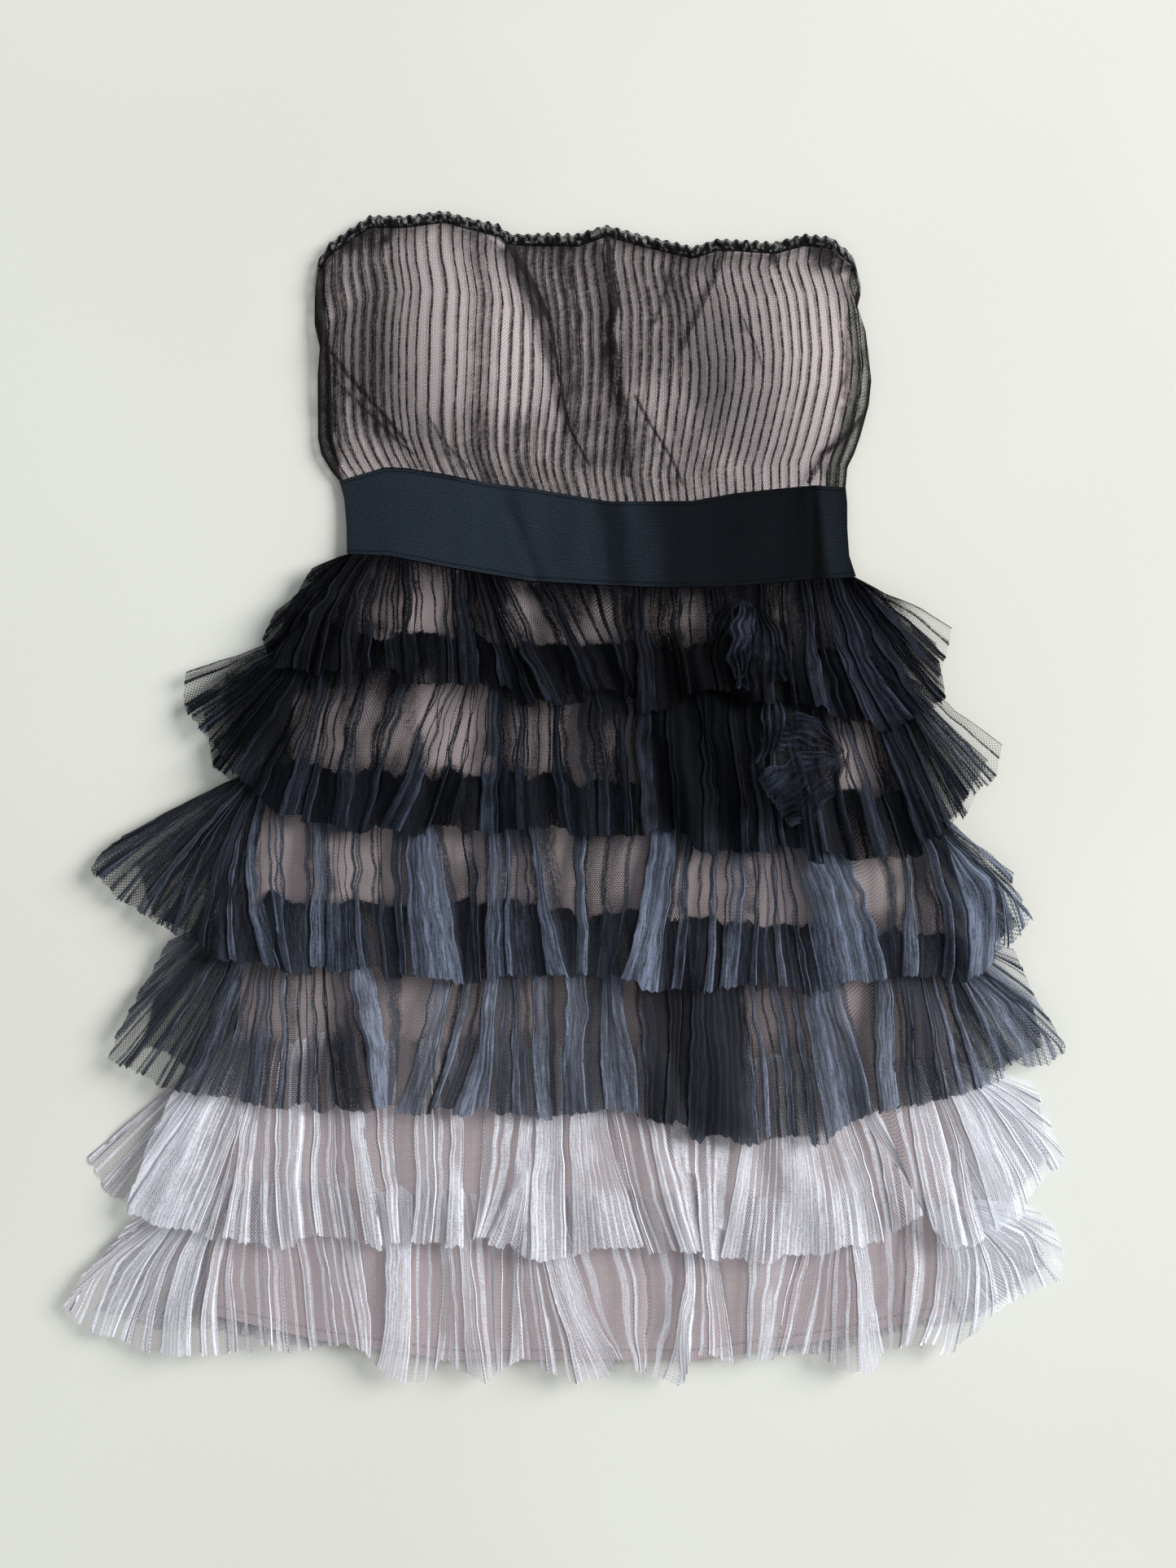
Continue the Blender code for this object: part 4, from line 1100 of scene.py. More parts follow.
def strand(top_x, middle_x, hem_x, half_width, light):
    """The edges of a fan that runs as one strand and opens towards the hem."""
    top = STRAND_TOP * half_width
    middle = STRAND_MIDDLE * half_width
    left = (top_x - top, middle_x - middle, hem_x - half_width)
    right = (top_x + top, middle_x + middle, hem_x + half_width)
    return (*left, *right, light)


def add_fillers(edges, lights, rows, length, seed, every):
    """Smaller fans, at random places, between those that are listed."""
    random = np.random.default_rng(seed)
    known = np.stack([np.zeros(len(rows)), *edges, np.full(len(rows), length)], axis=1)
    known = np.maximum.accumulate(known, axis=1)
    filled = list(edges)
    filled_lights = list(lights)
    place_on_hem = FILLERS_START
    while place_on_hem < length - FILLERS_END:
        place_on_hem += every * random.uniform(*FILLER_SPACING)
        wide = random.uniform(*FILLER_WIDTH)
        between = known[-1]
        gap = int(np.searchsorted(between, place_on_hem)) - 1
        is_free = gap % 2 == 0 and 0 <= gap < len(between) - 1
        if is_free:
            starts_clear = between[gap] + FILLER_GAP < place_on_hem
            is_free = starts_clear and place_on_hem + wide < between[gap + 1] - FILLER_GAP
        if is_free:
            for place in (place_on_hem, place_on_hem + wide):
                filled.append(np.array([float(np.interp(place, between, row)) for row in known]))
            filled_lights.append(random.uniform(*FILLER_LIGHT))
            place_on_hem += wide
    return filled, filled_lights


def fan_edges(hem, rows, fans):
    """Where the two edges of each fan run, as places along the hem at every row, and how light each is."""
    edges = []
    lights = []
    for left_top, left_middle, left_hem, right_top, right_middle, right_hem, light in fans:
        for edge in ((left_top, left_middle, left_hem), (right_top, right_middle, right_hem)):
            edges.append(np.array([float(hem.place_at(through(*edge, down), down)) for down in rows]))
        lights.append(light)
    return edges, lights


def fold_cloth(hem, rows, fans, seed, every=11.0, overlap=2.2, rise=1.9):
    """Lays the cloth of a tier out as fans of pleats that lap over what is between them.

    Gives, for evenly spaced places along the cloth: where each lies along the hem at every row, how far it is
    lifted, how light it looks, how near it is to the edge of a fan, and whether it is on a fan.
    """
    edges, lights = fan_edges(hem, rows, fans)
    edges, lights = add_fillers(edges, lights, rows, hem.length, seed, every)
    order = np.argsort([edges[2 * number][-1] for number in range(len(lights))])
    flat = (0.0, 0.0, 0.0)
    stops = [(0.0, np.zeros(len(rows)), *flat)]
    last = 0.0
    for number in order:
        left = edges[2 * number]
        right = np.maximum(edges[2 * number + 1], left + LEAST_FAN)
        lap = np.minimum(overlap, MOST_LAP * (right - left))
        gap = max(left[-1] - last, LEAST_GAP)
        start = stops[-1][0] + OPEN_LENGTH * gap
        inside = start + TURN_CLOTH
        end = inside + FAN_CLOTH * max(right[-1] - left[-1], 1.0)
        lifted = (rise * (FAN_LIFT + LIGHT_LIFT * lights[number]), lights[number], 1.0)
        stops += [(start, left + lap, *flat), (inside, left, *lifted)]
        stops += [(end, right, *lifted), (end + TURN_CLOTH, right - lap, *flat)]
        last = right[-1]
    end = stops[-1][0] + OPEN_LENGTH * max(hem.length - last, LEAST_GAP)
    stops.append((end, np.full(len(rows), hem.length), *flat))
    cloth, places, lifts, shades, on_fan = zip(*stops)
    cloth = np.array(cloth)
    count = int(cloth[-1] / NET_COLUMN) // PLEAT_COLUMNS * PLEAT_COLUMNS + 1
    u = np.linspace(0.0, cloth[-1], count)
    moved = np.stack([np.interp(u, cloth, row) for row in np.stack(places, axis=1)])
    from_edge = np.min(np.abs(u[None, :] - cloth[2:-1, None]), axis=0)
    ends = smooth(np.minimum(u, cloth[-1] - u) / FLAT_END)
    eased = mix(0.5, 1.0, rows[:, None])
    lift = np.interp(u, cloth, lifts)[None, :] * ends * eased
    light = np.interp(u, cloth, shades)[None, :]
    near_edge = bell(from_edge, EDGE_WIDTH)[None, :]
    fan = np.interp(u, cloth, on_fan)[None, :]
    return u[None, :], np.clip(moved, 0.0, hem.length), lift, light, near_edge, fan


def hem_steps(u, amount, seed):
    """The hem hangs at its own drop for a few pleats and then steps to another."""
    random = np.random.default_rng(seed)
    steps = amount * random.uniform(-1.0, 1.0, KNOTS)
    place = u / HEM_STEP + HEM_STEP_SHAKE * np.sin(u / HEM_STEP_SHAKE_LENGTH) + FIRST_HEM_STEP
    whole = np.floor(place).astype(int)
    part = smooth((place - whole - HEM_STEP_FROM) / HEM_STEP_TAKES)
    return mix(steps[whole], steps[whole + 1], part)


def along_row(x, drop, down):
    """The length along one row of the cloth, which its net is laid out by."""
    row = int(down * (len(x) - 1))
    steps = np.hypot(np.diff(x[row]), np.diff(drop[row]))
    return np.concatenate([[0.0], np.cumsum(steps)])[None, :]


def crowding(x, drop, step):
    """How much closer together the lines lie than on the flat cloth."""
    across_x = np.gradient(x, axis=1)
    across_drop = np.gradient(drop, axis=1)
    down_x = np.gradient(x, axis=0)
    down_drop = np.gradient(drop, axis=0)
    run = np.maximum(np.hypot(down_x, down_drop), 1e-6)
    apart = np.abs(across_x * down_drop - across_drop * down_x) / run
    return step / np.maximum(apart, step * CLOSEST_LINES)


def front_layers(tier, x, drop, close, fan, streak, gathered_head, more_layers):
    """How many layers of net lie over each other at each point of a front tier."""
    out = smooth(outside_lining(x, drop) / SIDE_WIDTH)
    typical = mix(FRONT_LAYERS[tier], SIDE_LAYERS[tier], out)
    far_right, far_right_width, far_right_layers = FAR_RIGHT
    typical = typical * mix(1.0, far_right_layers, out * smooth((x - far_right) / far_right_width))
    typical = typical * mix(OPEN_CLOTH[tier], FAN_LAYERS[tier], fan)
    layers = typical * close * np.exp(UNEVEN_LAYERS * (streak - 0.5)) * more_layers
    layers = layers * each_pleat(x.shape[1], *PLEAT_LAYERS, seed_of("pleat layers", tier))
    layers = layers + GATHER_LAYERS[tier] * gathered_head
    return np.clip(layers, LEAST_LAYERS[tier], MOST_LAYERS)


def front_light(tier, x, drop, run, light, near_edge, fan, streak, more_light):
    """How much of the lit net colour shows at each point of a front tier: its painted light and shade."""
    is_lavender = tier in LAVENDER_TIERS
    streak_light, uneven_light, head_length = LAVENDER_LIGHT if is_lavender else DARK_LIGHT
    lit = LEAST_LIGHT[tier] + streak_light * streak + FAN_LIGHT[tier] * light * (0.45 + 0.55 * streak)
    lit = lit + EDGE_LIGHT * near_edge * fan
    right_from, right_width = RIGHT_SIDE
    on_right = smooth((x - right_from) / right_width)
    out = smooth(outside_lining(x, drop) / SIDE_WIDTH)
    lit = lit + out * mix(LEFT_LIGHT[tier], RIGHT_LIGHT[tier], on_right)
    lit = lit * each_pleat(x.shape[1], 1.0 - uneven_light, 1.0 + uneven_light, seed_of("pleat light", tier))
    if tier in NAVY_TIERS:
        shaded_from, shaded_width, shaded_light = SHADED_LEFT
        lit = lit * mix(1.0, shaded_light, smooth((shaded_from - x) / shaded_width))
    lit = lit * (1.0 + HEAD_LIGHT[tier] * np.exp(-run / head_length)) * more_light
    return np.clip(lit, 0.0, 1.0)


def front_whole(tier, x, run):
    """How whole the net is: it frays at its hem, and under the gathers of the lower tiers."""
    whole = mix(0.4, 1.0, smooth((run[-1:] - run) / FRAYED_HEM[tier]))
    if tier > 1:
        frayed_head = mix(3.0, 9.0, uneven(x[:1], 6.0, seed_of("frayed head", tier)))
        whole = whole * smooth(run / frayed_head)
    return whole


def add_front_tier(tier, material):
    hem = Hem(tier, FRONT_HEMS[tier])
    rows = np.linspace(0.0, 1.0, FRONT_ROWS)
    fans = FANS.get(tier) or [strand(*row) for row in STRANDS[tier]]
    seed = seed_of("fans", tier)
    u, moved, lift, light, near_edge, fan = fold_cloth(hem, rows, fans, seed, rise=FAN_RISE[tier])
    count = u.shape[1]
    down = rows[:, None]
    x, drop = hem.point(moved, down)
    hem_x = hem.ends(moved)[1]
    height = front_tier_height(tier, x, drop, hem_x, moved / hem.length, down)
    zigzag = pleat_zigzag(count)
    height = height + NET_WALL / 2.0 + lift + PLEAT_RISE[tier] * zigzag
    scallops = hem_steps(u, HEM_STEPS[tier], seed_of("hem steps", tier))
    scallops = scallops + shake(u, 2.0, 4.0, seed_of("hem shake", tier))
    drop = drop + (0.6 * zigzag + scallops) * smooth((down - 0.5) / 0.5)
    run = np.hypot(x - x[:1], drop - drop[:1])
    cloth_u = along_row(x, drop, NET_ROW)
    if tier > 1:
        puffs = shake(x[:1], 9.0, 10.0, seed_of("puffs", tier))
        puffs = puffs + shake(x[:1], 6.0, 3.6, seed_of("small puffs", tier))
        drop = drop + puffs * np.exp(-run / PUFF_LENGTH)
    sway = shake_area(u, 0.6 * run, SWAY, 26.0, seed_of("sway", tier))
    ripple = shake_area(u, run, RIPPLE[tier], 10.0, seed_of("ripple", tier))
    x = x + (sway + ripple) * np.sin(math.pi * down)
    streak = streaks(u, 2.2, 8.0, seed_of("fine streaks", tier), seed_of("coarse streaks", tier))
    close = crowding(x, drop, u[0, 1])
    gathered_head = np.exp(-run / mix(5.0, 13.0, uneven(u, 7.0, seed_of("gathers", tier))))
    more_layers, more_light = patch_factors(tier, x, drop)
    fields = {
        "layers": front_layers(tier, x, drop, close, fan, streak, gathered_head, more_layers),
        "lit": front_light(tier, x, drop, run, light, near_edge, fan, streak, more_light),
        "pleat": pleat_phase(count),
        "lap": mix(*LAPS[tier], uneven(u, 9.0, seed_of("laps", tier))),
        "whole": front_whole(tier, x, run),
    }
    piece = grid_piece(f"ruffle_{tier}_front", x, drop, height, cloth_u, run, material, fields)
    stands_for(piece, f"tier_{tier}_front")
    declare_sheet(float(np.median(run[-1])))


def add_flap(number, flap, material):
    """A folded end of the net on one of the black tiers."""
    tier, first_start, first_middle, first_end, last_start, last_middle, last_end, pleats, light = flap
    count = FLAP_COLUMNS * pleats + 1
    across, down = spread(count, FLAP_ROWS)
    x, drop = (
        mix(
            through(first_start[axis], first_middle[axis], first_end[axis], down),
            through(last_start[axis], last_middle[axis], last_end[axis], down),
            across,
        )
        for axis in (0, 1)
    )
    zigzag = np.sin(2.0 * math.pi * pleats * across)
    shaken = FLAP_SHAKE * smooth(3.0 * down)
    x = x + shake_area(x, drop, shaken, 9.0, 300 + number)
    drop = drop + shake_area(x, drop, shaken, 9.0, 320 + number) + zigzag * smooth((down - 0.7) / 0.3)
    rise = tier_rise(tier, x, drop) + crumple_rise(tier, x, drop)
    height = FRONT_RUFFLES + rise + FLAP_CLEARANCE + 0.7 * zigzag
    height = height + FLAP_BULGE * np.sin(math.pi * across) * np.sin(math.pi * down)
    steps = np.hypot(np.diff(x, axis=0), np.diff(drop, axis=0))
    run = np.concatenate([0.0 * x[:1], np.cumsum(steps, axis=0)])
    fine = uneven_area(40.0 * across, run, 4.0, 340 + number)
    near_hem = bell(run[-1:] - run, 1.6)
    near_sides = bell(np.minimum(across, 1.0 - across) * count, 5.0)
    patchy = 0.35 + 0.65 * smooth((uneven_area(x, drop, 11.0, 360 + number) - 0.25) / 0.5)
    # Painted light on the flap: patchy, and strongest along its sides and hem
    lit = light * patchy * (0.25 + 0.9 * fine + 0.8 * np.maximum(near_sides, near_hem))
    fields = {
        "layers": 1.2 + 2.6 * fine * patchy,
        "lit": np.clip(lit, 0.0, 1.0),
        "pleat": pleats * across,
        "lap": 0.08,
        "whole": 1.0,
    }
    cloth_u = along_row(x, drop, NET_ROW)
    piece = grid_piece(f"ruffle_{tier}_flap_{number}", x, drop, height, cloth_u, run, material, fields)
    stands_for(piece, f"tier_{tier}_front")
    declare_sheet(float(np.median(run[-1])))


def back_tier_form(tier, u, down, hem):
    """The middle of the solid's wall: covered near its seam, then down to the surface."""
    covered_to = -STEP_LENGTH
    if tier > 1:
        covered_to = max(row[2] for row in BACK_HEMS[tier - 1]) + STEP_CLEARANCE
    wave = np.cos(2.0 * math.pi * BACK_WAVES * u / hem.length)
    seam_x, hem_x, hem_drop = hem.ends(u)
    foot = hem_drop + BACK_SCALLOP * wave
    head = seam_drop(tier, seam_x)
    x = mix(seam_x, hem_x, down)
    drop = mix(head, foot, down)
    height = mix(BACK_COVERED, 0.0, np.clip((drop - covered_to) / STEP_LENGTH, 0.0, 1.0))
    rib = BACK_RIB * (0.5 + 0.5 * wave)
    return x, drop, height + (NET_WALL + rib) / 2.0


def add_back_tier(tier, material):
    hem = Hem(tier, BACK_HEMS[tier])
    rows = np.linspace(0.0, 1.0, BACK_ROWS)
    seed = seed_of("back fans", tier)
    u, moved, lift, light, _, fan = fold_cloth(hem, rows, (), seed, every=16.0, overlap=1.6, rise=0.6)
    count = u.shape[1]
    down = rows[:, None]
    x, drop, height = back_tier_form(tier, moved, down, hem)
    zigzag = pleat_zigzag(count)
    height = np.maximum(height + 0.4 * lift + 0.3 * zigzag, LOWEST_NET)
    steps = 0.6 * hem_steps(u, 1.6, seed_of("back hem steps", tier))
    drop = drop + (0.7 * zigzag + steps) * smooth((down - 0.8) / 0.2)
    run = np.hypot(x - x[:1], drop - drop[:1])
    streak = streaks(u, 2.6, 11.0, seed_of("fine back streaks", tier), seed_of("coarse back streaks", tier))
    close = crowding(x, drop, u[0, 1])
    layers = 1.2 * close * mix(0.6, 1.6, streak) * mix(0.8, 1.5, fan) + 2.0 * np.exp(-run / 9.0)
    fields = {
        "layers": np.clip(layers, 1.0, MOST_LAYERS),
        "lit": np.clip(0.05 + 0.25 * streak + 0.4 * light, 0.0, 1.0),
        "pleat": pleat_phase(count),
        "lap": 0.1,
        "whole": 1.0,
    }
    cloth_u = along_row(x, drop, NET_ROW)
    piece = grid_piece(f"ruffle_{tier}_back", x, drop, height, cloth_u, run, material, fields)
    stands_for(piece, f"tier_{tier}_back")
    declare_sheet(float(np.median(run[-1])))


# The bodice

def shifted(table, amount):
    return tuple((x, drop + amount) for x, drop in table)


def panel(head, foot, left_side, right_side, across, down, head_ends=None, foot_ends=None):
    """Points that fill a panel between its head, foot and sides. The ends may draw its head and foot in."""
    head_left, head_right = head_ends or (head[0][0], head[-1][0])
    foot_left, foot_right = foot_ends or (foot[0][0], foot[-1][0])
    head_x = mix(head_left, head_right, across)
    foot_x = mix(foot_left, foot_right, across)
    head_drop = read(head, head_x)
    foot_drop = read(foot, foot_x)
    left_drop = mix(read(head, head_left), read(foot, foot_left), down)
    right_drop = mix(read(head, head_right), read(foot, foot_right), down)
    left_bulge = read(left_side, left_drop) - mix(head_left, foot_left, down)
    right_bulge = read(right_side, right_drop) - mix(head_right, foot_right, down)
    x = mix(head_x, foot_x, down) + mix(left_bulge, right_bulge, across)
    return x, mix(head_drop, foot_drop, down)


def lift_over_cups(x, drop):
    lift = 0.0 * x
    for _, centre_x, centre_drop, half_width, half_height, height in CUPS:
        reach = np.hypot((x - centre_x) / half_width, (drop - centre_drop) / half_height)
        edge = (CUP_EDGE + CUP_CLEARANCE) * smooth((LIFT_ENDS - reach) / (LIFT_ENDS - LIFT_STARTS))
        crown = np.maximum(1.0 - (LINING_SPREAD * reach) ** 2, 0.0) ** CUP_ROUNDNESS
        lift = np.maximum(lift, edge + height * crown)
    return lift


def fold_rise(x, drop):
    rise = 0.0 * x
    for top_x, top_drop, foot_x, foot_drop, half_width, height in BODICE_FOLDS:
        length = math.hypot(foot_x - top_x, foot_drop - top_drop)
        along_x = (foot_x - top_x) / length
        along_drop = (foot_drop - top_drop) / length
        along = (x - top_x) * along_x + (drop - top_drop) * along_drop
        past_end = np.maximum(np.maximum(-along, along - length), 0.0)
        aside = np.abs((x - top_x) * along_drop - (drop - top_drop) * along_x)
        rise = np.maximum(rise, height * bell(np.hypot(aside, past_end), half_width))
    return rise


def near_line(x, drop, head_width, foot_width, points):
    """How near a point is to a line that runs through some points, from 0 to 1."""
    nearest = 0.0 * x
    runs = list(zip(points, points[1:]))
    for number, ((start_x, start_drop), (end_x, end_drop)) in enumerate(runs):
        run_x = end_x - start_x
        run_drop = end_drop - start_drop
        along = ((x - start_x) * run_x + (drop - start_drop) * run_drop) / (run_x ** 2 + run_drop ** 2)
        along = np.clip(along, 0.0, 1.0)
        away = np.hypot(x - start_x - along * run_x, drop - start_drop - along * run_drop)
        width = mix(head_width, foot_width, (number + along) / len(runs))
        nearest = np.maximum(nearest, np.exp(-((away / width) ** 4)))
    return nearest


def overlay_crowding(x, drop):
    """Where the overlay's pleats lie close together: in all, and in its slanting middle, whose extra layers
    also stand for painted shade in the hollow between the cups.
    """
    slanting = x + 31.0 - 0.30 * (drop - 26.0)
    middle = inside_patch(slanting, drop, 0, 54, 16, 160, 3.0, 8.0)
    middle = middle * smooth((34.0 + 0.05 * drop - x) / 8.0)
    close = middle
    for share, patch in CLOSE_PLEATS:
        close = np.maximum(close, share * inside_patch(x, drop, *patch))
    return close, middle


def overlay_layers(x, drop, u, close, streak, close_pleats, middle):
    """How many layers of net lie over the bodice's lining at each point."""
    layers = close * np.exp(0.7 * (streak - 0.5)) + 1.2 * np.exp(-(drop - drop[:1]) / 6.0)
    wobble = shake_area(x, drop, 1.2, 7.0, 26)
    for more, head_width, foot_width, points in OVERLAY_LINES:
        line = near_line(x + wobble, drop, LINE_WIDTH * head_width, LINE_WIDTH * foot_width, points)
        layers = layers + LINE_LAYERS * more * line
    beyond = np.maximum(read(KNIT_LEFT, drop) - x, x - read(KNIT_RIGHT, drop))
    crushed = uneven_area(x, drop, 4.0, 28)
    layers = layers + mix(*SIDE_NET, x > 0.0) * crushed * smooth((beyond + 4.0) / 4.0)
    left_corner, right_corner = (inside_patch(x, drop, *corner) for corner in OVERLAY_CORNERS)
    layers = layers + CORNER_LAYERS * np.maximum(left_corner, right_corner) * crushed
    # The close pleats add layers; the extra layers in the slanting middle are partly painted shade in the
    # hollow between the cups.
    layers = layers + 0.25 * close_pleats + 0.3 * middle
    from_side = np.minimum(u, OVERLAY_WIDTH - u)
    layers = layers + SEAM_LAYERS * bell(from_side, SEAM_WIDTH)
    return np.clip(layers, 1.0, MOST_LAYERS)


def add_overlay_front(material):
    """The pleated net over the front of the bodice, with its pleats drawn into folds."""
    count = OVERLAY_PLEATS * OVERLAY_COLUMNS + 1
    _, down = spread(count, OVERLAY_ROWS)
    u = np.linspace(0.0, OVERLAY_WIDTH, count)[None, :]
    phase = np.arange(count)[None, :] / OVERLAY_COLUMNS
    bend = shake_area(u, 70.0 * down, 3.0, 30.0, 24) * np.sin(math.pi * down) + shake(u, 6.0, 21.0, 27)
    moved = u + bend * smooth(np.minimum(u, OVERLAY_WIDTH - u) / 10.0)
    moved = np.clip(moved, 0.0, OVERLAY_WIDTH)
    head = shifted(TOP_EDGE, TOP_EDGE_WIDTH)
    foot = shifted(WAIST_TOP, OVERLAY_TUCK)
    x, drop = panel(head, foot, BODICE_LEFT, BODICE_RIGHT, moved / OVERLAY_WIDTH, down)
    zigzag = np.sin(2.0 * math.pi * phase)
    underside = BODICE_FRONT_LINING + LINING_WALL + SEAM_GAP
    height = underside + NET_WALL / 2.0 + lift_over_cups(x, drop) + fold_rise(x, drop) + 0.4 * zigzag
    height = height - 0.5 * smooth(1.0 - (drop[-1:] - drop) / 4.0)
    streak = streaks(u, 2.6, 13.0, 21, 22)
    close = crowding(x, drop, OVERLAY_WIDTH / (count - 1))
    close_pleats, middle = overlay_crowding(x, drop)
    fields = {
        "layers": overlay_layers(x, drop, u, close, streak, close_pleats, middle),
        "lit": 0.1 + 0.3 * streak,
        "pleat": phase,
        "lap": mix(*OVERLAY_LAP, close_pleats) * mix(0.6, 1.4, uneven(u, 7.0, 25)),
        "whole": 1.0,
    }
    cloth_u = along_row(x, drop, 0.5)
    piece = grid_piece("pleated_overlay_front", x, drop, height, cloth_u, drop - drop[:1], material, fields)
    stands_for(piece, "bodice_overlay_front")
    declare_sheet(BODICE_LENGTH)


def add_overlay_back(material):
    count = 221
    across, down = spread(count, 25)
    head = shifted(TOP_EDGE, TOP_EDGE_WIDTH)
    foot = shifted(WAIST_TOP, -SEAM_GAP)
    x, drop = panel(head, foot, BODICE_LEFT, BODICE_RIGHT, across, down)
    height = NET_WALL / 2.0 + 0.4 * pleat_zigzag(count) + 0.0 * x
    u = across * OVERLAY_WIDTH
    fields = {"layers": 1.2, "lit": 0.2, "pleat": pleat_phase(count), "lap": 0.12, "whole": 1.0}
    piece = grid_piece("pleated_overlay_back", x, drop, height, u, drop - drop[:1], material, fields)
    stands_for(piece, "bodice_overlay_back")
    declare_sheet(BODICE_LENGTH)


def add_bodice_knit(material):
    across, down = spread(150, 70)
    head = shifted(TOP_EDGE, TOP_EDGE_WIDTH)
    foot = shifted(WAIST_TOP, -SEAM_GAP)
    x, drop = panel(head, foot, KNIT_LEFT, KNIT_RIGHT, across, down, KNIT_HEAD_ENDS, KNIT_FOOT_ENDS)
    height = BODICE_FRONT_LINING + LINING_WALL / 2.0 + lift_over_cups(x, drop)
    piece = grid_piece("bodice_knit_front", x, drop, height, x - x.min(), drop - drop.min(), material)
    stands_for(piece, "bodice_lining_front")
    declare_sheet(BODICE_LENGTH)
    height = BODICE_BACK_LINING + LINING_WALL / 2.0 + 0.0 * x
    piece = grid_piece("bodice_knit_back", x, drop, height, x - x.min(), drop - drop.min(), material)
    stands_for(piece, "bodice_lining_back")
    declare_sheet(BODICE_LENGTH)


def cup_points(centre_x, centre_drop, half_width, half_height, height):
    """The crown, the rings down to the edge, the ring of the underside and its middle."""
    base = BODICE_FRONT_LINING
    points = [(centre_x, centre_drop, base + CUP_EDGE + height)]
    rings = [(ring / CUP_RINGS, CUP_EDGE) for ring in range(1, CUP_RINGS + 1)] + [(1.0, 0.0)]
    for reach, edge in rings:
        top = base + edge + height * (1.0 - reach * reach) ** CUP_ROUNDNESS
        for segment in range(CUP_SEGMENTS):
            turn = 2.0 * math.pi * segment / CUP_SEGMENTS
            x = centre_x + half_width * reach * math.cos(turn)
            points.append((x, centre_drop - half_height * reach * math.sin(turn), top))
    points.append((centre_x, centre_drop, base))
    return points


def add_cups(material):
    """Moulded foam cups: a thin edge, a rounded crown and a flat underside."""
    for name, *form in CUPS:
        points = cup_points(*form)
        last = len(points) - 1
        faces = []
        for segment in range(CUP_SEGMENTS):
            after = (segment + 1) % CUP_SEGMENTS
            faces.append((0, 1 + segment, 1 + after))
            for ring in range(CUP_RINGS):
                inner = 1 + ring * CUP_SEGMENTS
                outer = inner + CUP_SEGMENTS
                faces.append((inner + segment, outer + segment, outer + after, inner + after))
            faces.append((last, last - CUP_SEGMENTS + after, last - CUP_SEGMENTS + segment))
        piece = add_piece(name + "_pad", [from_dress(*point) for point in points], faces, material)
        piece.data.shade_smooth()
        piece.data.update()
        stands_for(piece, name)


def add_top_edges(material):
    """The narrow ruched strip along the top of the bodice, with a tip at the head of every pleat."""
    front_thickness = LINING_WALL + SEAM_GAP + NET_WALL
    back_thickness = BODICE_FRONT_LINING - SEAM_GAP - (1.0 + LEAST_RUCHE) * RUCHE_RISE
    for side, ruches, underside, thickness in (
        ("front", 18, BODICE_FRONT_LINING, front_thickness),
        ("back", 9, 0.0, back_thickness),
    ):
        across, down = spread(441, 9)
        along = across * TOP_EDGE_LENGTH
        x = mix(TOP_EDGE[0][0], TOP_EDGE[-1][0], across) + 0.0 * down
        wave = np.cos(2.0 * math.pi * EDGE_TIPS * across)
        tallest = mix(0.7, 2.1, uneven(along, 16.0, 31))
        head = read(TOP_EDGE, x) + 0.8 - tallest * (0.5 - 0.5 * wave)
        drop = mix(head, read(TOP_EDGE, x) + TOP_EDGE_WIDTH - SEAM_GAP, down)
        ruche = 0.5 - 0.5 * np.cos(2.0 * math.pi * ruches * across)
        small = 0.35 * wave * np.sin(math.pi * down)
        roll = read(TOP_EDGE_ROLL, down) * RUCHE_RISE
        height = underside + thickness + roll * (LEAST_RUCHE + ruche) + small
        # Painted light in random specks along the middle of the roll
        speck = uneven(along + 40.0 * np.round(4.0 * down), 1.4, 33)
        fields = {
            "layers": 0.9 + 2.2 * uneven(along, 2.2, 32) + 5.0 * down ** 3,
            "lit": 0.7 * smooth((speck - 0.62) / 0.2) * np.sin(math.pi * down),
            "pleat": EDGE_TIPS * across + 0.5,
            "lap": 0.2,
            "whole": 1.0,
        }
        piece = grid_piece(f"ruched_edge_{side}", x, drop, height, along, drop - drop[:1], material, fields)
        stands_for(piece, f"top_edge_{side}")
        declare_sheet(2.0 * TOP_EDGE_WIDTH)


# The waistband and the skirt lining

def add_waistband(material):
    across, down = spread(200, 40)
    x, drop = panel(WAIST_TOP, WAIST_BOTTOM, BAND_LEFT, BAND_RIGHT, across, down)
    head_height = BODICE_FRONT_LINING + SEAM_GAP
    foot_height = FRONT_LINING + SEAM_GAP
    along = across * BAND_LENGTH
    across_band = down * BAND_WIDTH
    bow = BAND_BOW * np.sin(math.pi * across)
    dents = shake(along + 9.0 * down, 2.0, 21.0, 51) * np.sin(math.pi * down)
    slanting = x + 34.0 - 0.35 * (drop - 180.0)
    dents = dents - 1.2 * bell(slanting, 5.0) * smooth(down / 0.4)
    fold = -0.9 * bell(x - 152.0, 3.0)
    height = mix(head_height, foot_height, down) + bow + BAND_WALL * 0.8 + dents + fold
    # Painted sheen over the left of the band and painted shade in its folds and dents, read across it
    shade = read(BAND_SHEEN_AND_SHADE, x + shake_area(x, drop, 2.5, 12.0, 52) - 0.12 * (drop - 195.0))
    piece = grid_piece("waistband_face", x, drop, height, along, across_band, material, {"shade": shade})
    stands_for(piece, "waistband_front")
    declare_sheet(BAND_WIDTH)
    height = BACK_BAND_WALL * 0.5 + 0.0 * x
    piece = grid_piece("waistband_reverse", x, drop, height, along, across_band, material, {"shade": 0.3})
    stands_for(piece, "waistband_back")
    declare_sheet(BAND_WIDTH)


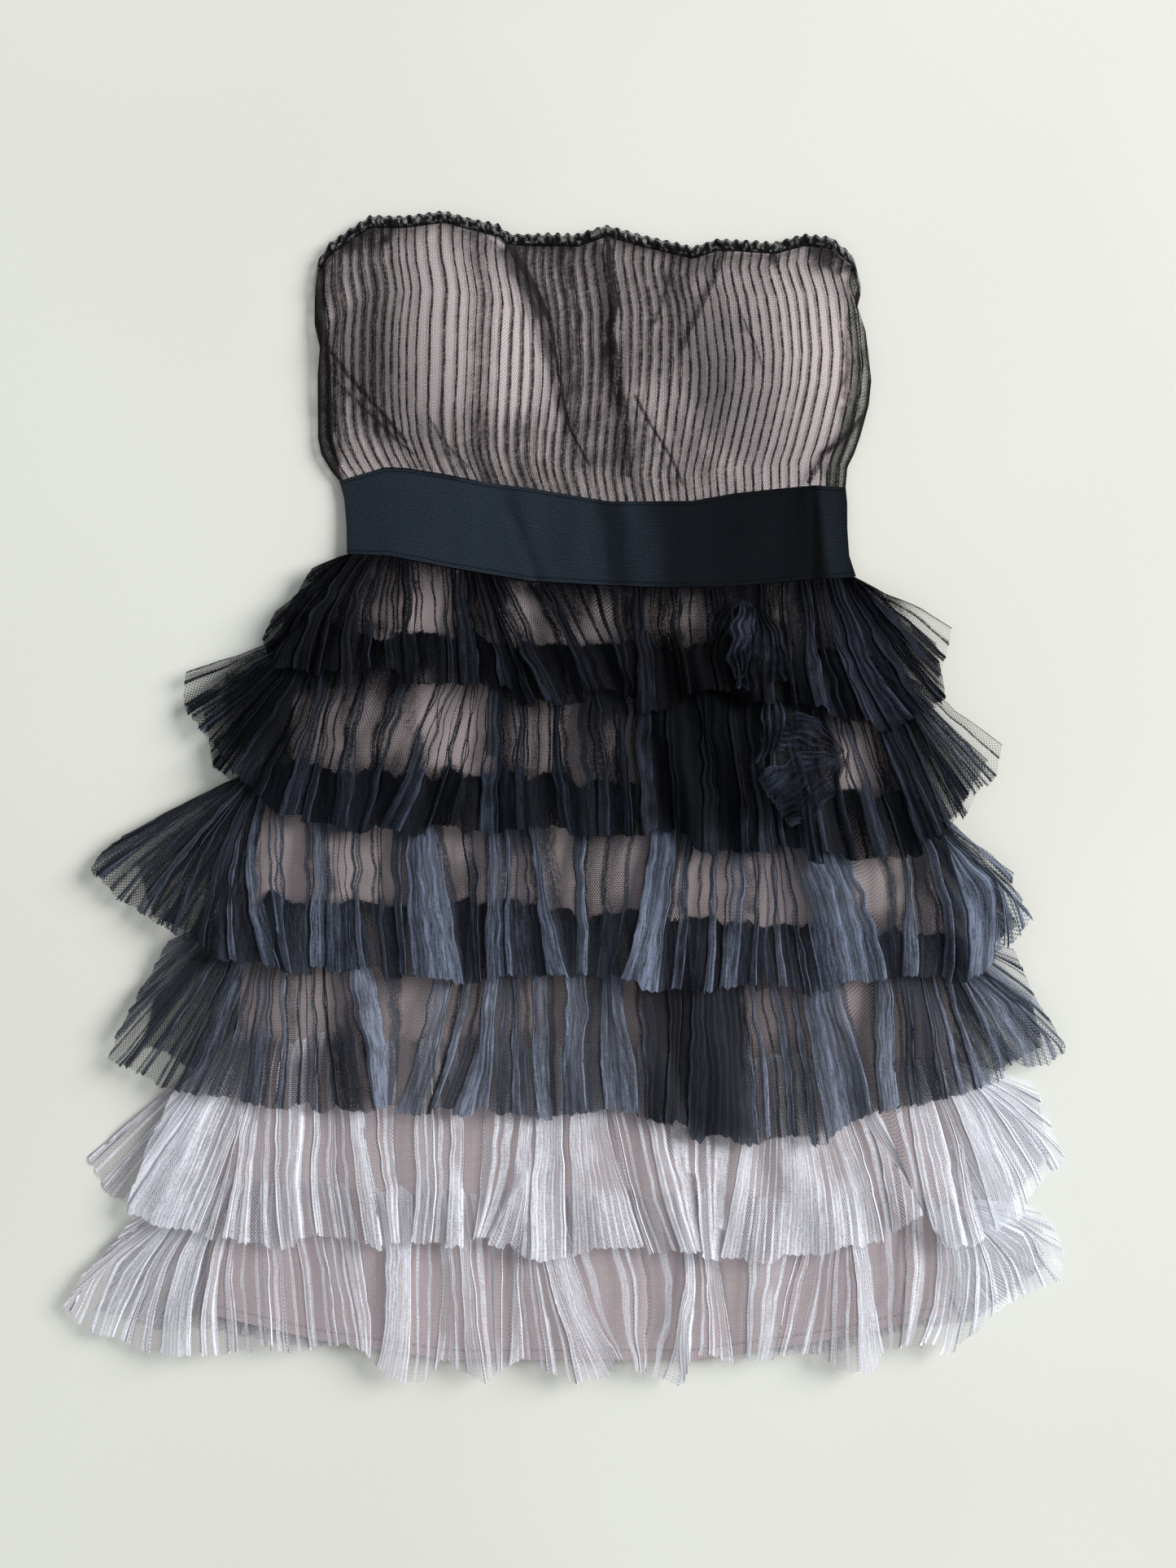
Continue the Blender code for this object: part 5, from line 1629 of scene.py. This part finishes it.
def add_skirt_lining(material):
    across, down = spread(160, 160)
    head = shifted(WAIST_BOTTOM, SEAM_GAP)
    x, drop = panel(head, LINING_HEM, LINING_LEFT, LINING_RIGHT, across, down)
    creases = 0.3 * uneven(x + 0.15 * drop, 30.0, 53) - 0.15
    for name, node, rests_on, base in (
        ("skirt_lining_face", "skirt_lining_front", "waistband_face", FRONT_LINING),
        ("skirt_lining_reverse", "skirt_lining_back", "waistband_reverse", BACK_LINING),
    ):
        height = base + LINING_WALL / 2.0 + creases
        fields = {"above_hem": drop[-1:] - drop}
        piece = grid_piece(name, x, drop, height, x - x.min(), drop - drop.min(), material, fields)
        stands_for(piece, node)
        declare_sheet(LINING_LENGTH)


# The stage

def add_camera():
    """Straight above the middle of the picture, which is 722.5 mm wide and 963.5 mm high on the surface."""
    camera = bpy.data.cameras.new("camera")
    camera.sensor_width = SENSOR
    camera.lens = SENSOR * CAMERA_ABOVE / PICTURE_HEIGHT
    camera.clip_end = 10.0
    holder = bpy.data.objects.new("camera", camera)
    holder.location = (*PICTURE_MIDDLE, CAMERA_ABOVE)
    bpy.context.collection.objects.link(holder)
    bpy.context.scene.camera = holder


def add_floor():
    cloth = Cloth("floor_paint", roughness=0.7, sheen=0.0, specular=0.2)
    slow = cloth.noise(cloth.place(), 2.0)
    patches = cloth.scale(slow, 0.35, 0.65)
    cloth.paint(cloth.blend(patches, colour(0.752, 0.757, 0.702), colour(0.777, 0.792, 0.747)))
    corners = [(-HALF_FLOOR, -HALF_FLOOR, 0.0), (HALF_FLOOR, -HALF_FLOOR, 0.0)]
    corners += [(HALF_FLOOR, HALF_FLOOR, 0.0), (-HALF_FLOOR, HALF_FLOOR, 0.0)]
    floor = add_piece("floor", corners, [(0, 1, 2, 3)], cloth.material)
    floor.location = (0.0, 0.0, -0.0002)


def add_light(name, place, size, power, tint):
    """A round lamp that points at the middle of the dress."""
    lamp = bpy.data.lights.new(name, "AREA")
    lamp.shape = "DISK"
    lamp.size = size
    lamp.energy = power
    lamp.color = tint
    holder = bpy.data.objects.new(name, lamp)
    holder.location = place
    away = np.array(place, float)
    yaw = math.atan2(away[1], away[0]) + math.pi / 2.0
    tilt = math.atan2(math.hypot(away[0], away[1]), away[2])
    holder.rotation_euler = (tilt, 0.0, yaw)
    bpy.context.collection.objects.link(holder)


def add_lights():
    add_light("window", (6.4, 2.2, 4.0), 4.6, 865.0, (1.0, 0.99, 0.97))
    add_light("fill", (-2.4, -1.6, 2.6), 2.2, 6.0, (1.0, 0.96, 0.90))
    world = bpy.data.worlds.new("room")
    world.use_nodes = True
    sky = world.node_tree.nodes["Background"]
    sky.inputs["Color"].default_value = (0.94, 0.97, 1.0, 1.0)
    sky.inputs["Strength"].default_value = 0.355
    bpy.context.scene.world = world


def add_dress():
    black = net_material("black_net", **BLACK_NET)
    edge = net_material("edge_net", **EDGE_NET)
    knit = knit_material("pink_knit", (0.86, 0.75, 0.77))
    elastic = elastic_material("black_elastic")
    add_overlay_front(black)
    add_overlay_back(black)
    add_bodice_knit(knit)
    add_cups(foam_material("cup_foam"))
    add_top_edges(edge)
    add_waistband(elastic)
    add_skirt_lining(knit_material("skirt_knit", (0.71, 0.60, 0.615), hemmed=True))
    for tier, (slot, net) in TIER_NETS.items():
        material = net_material(f"ruffle_net_{tier}", **net)
        add_front_tier(tier, material)
        add_back_tier(tier, material)
        for number, flap in enumerate(FLAPS, 1):
            if flap[0] == tier:
                add_flap(number, flap, material)


def main():
    add_dress()
    add_floor()
    add_camera()
    add_lights()
    scene = bpy.context.scene
    scene.view_settings.view_transform = "Standard"
    scene.cycles.transparent_max_bounces = 40


main()
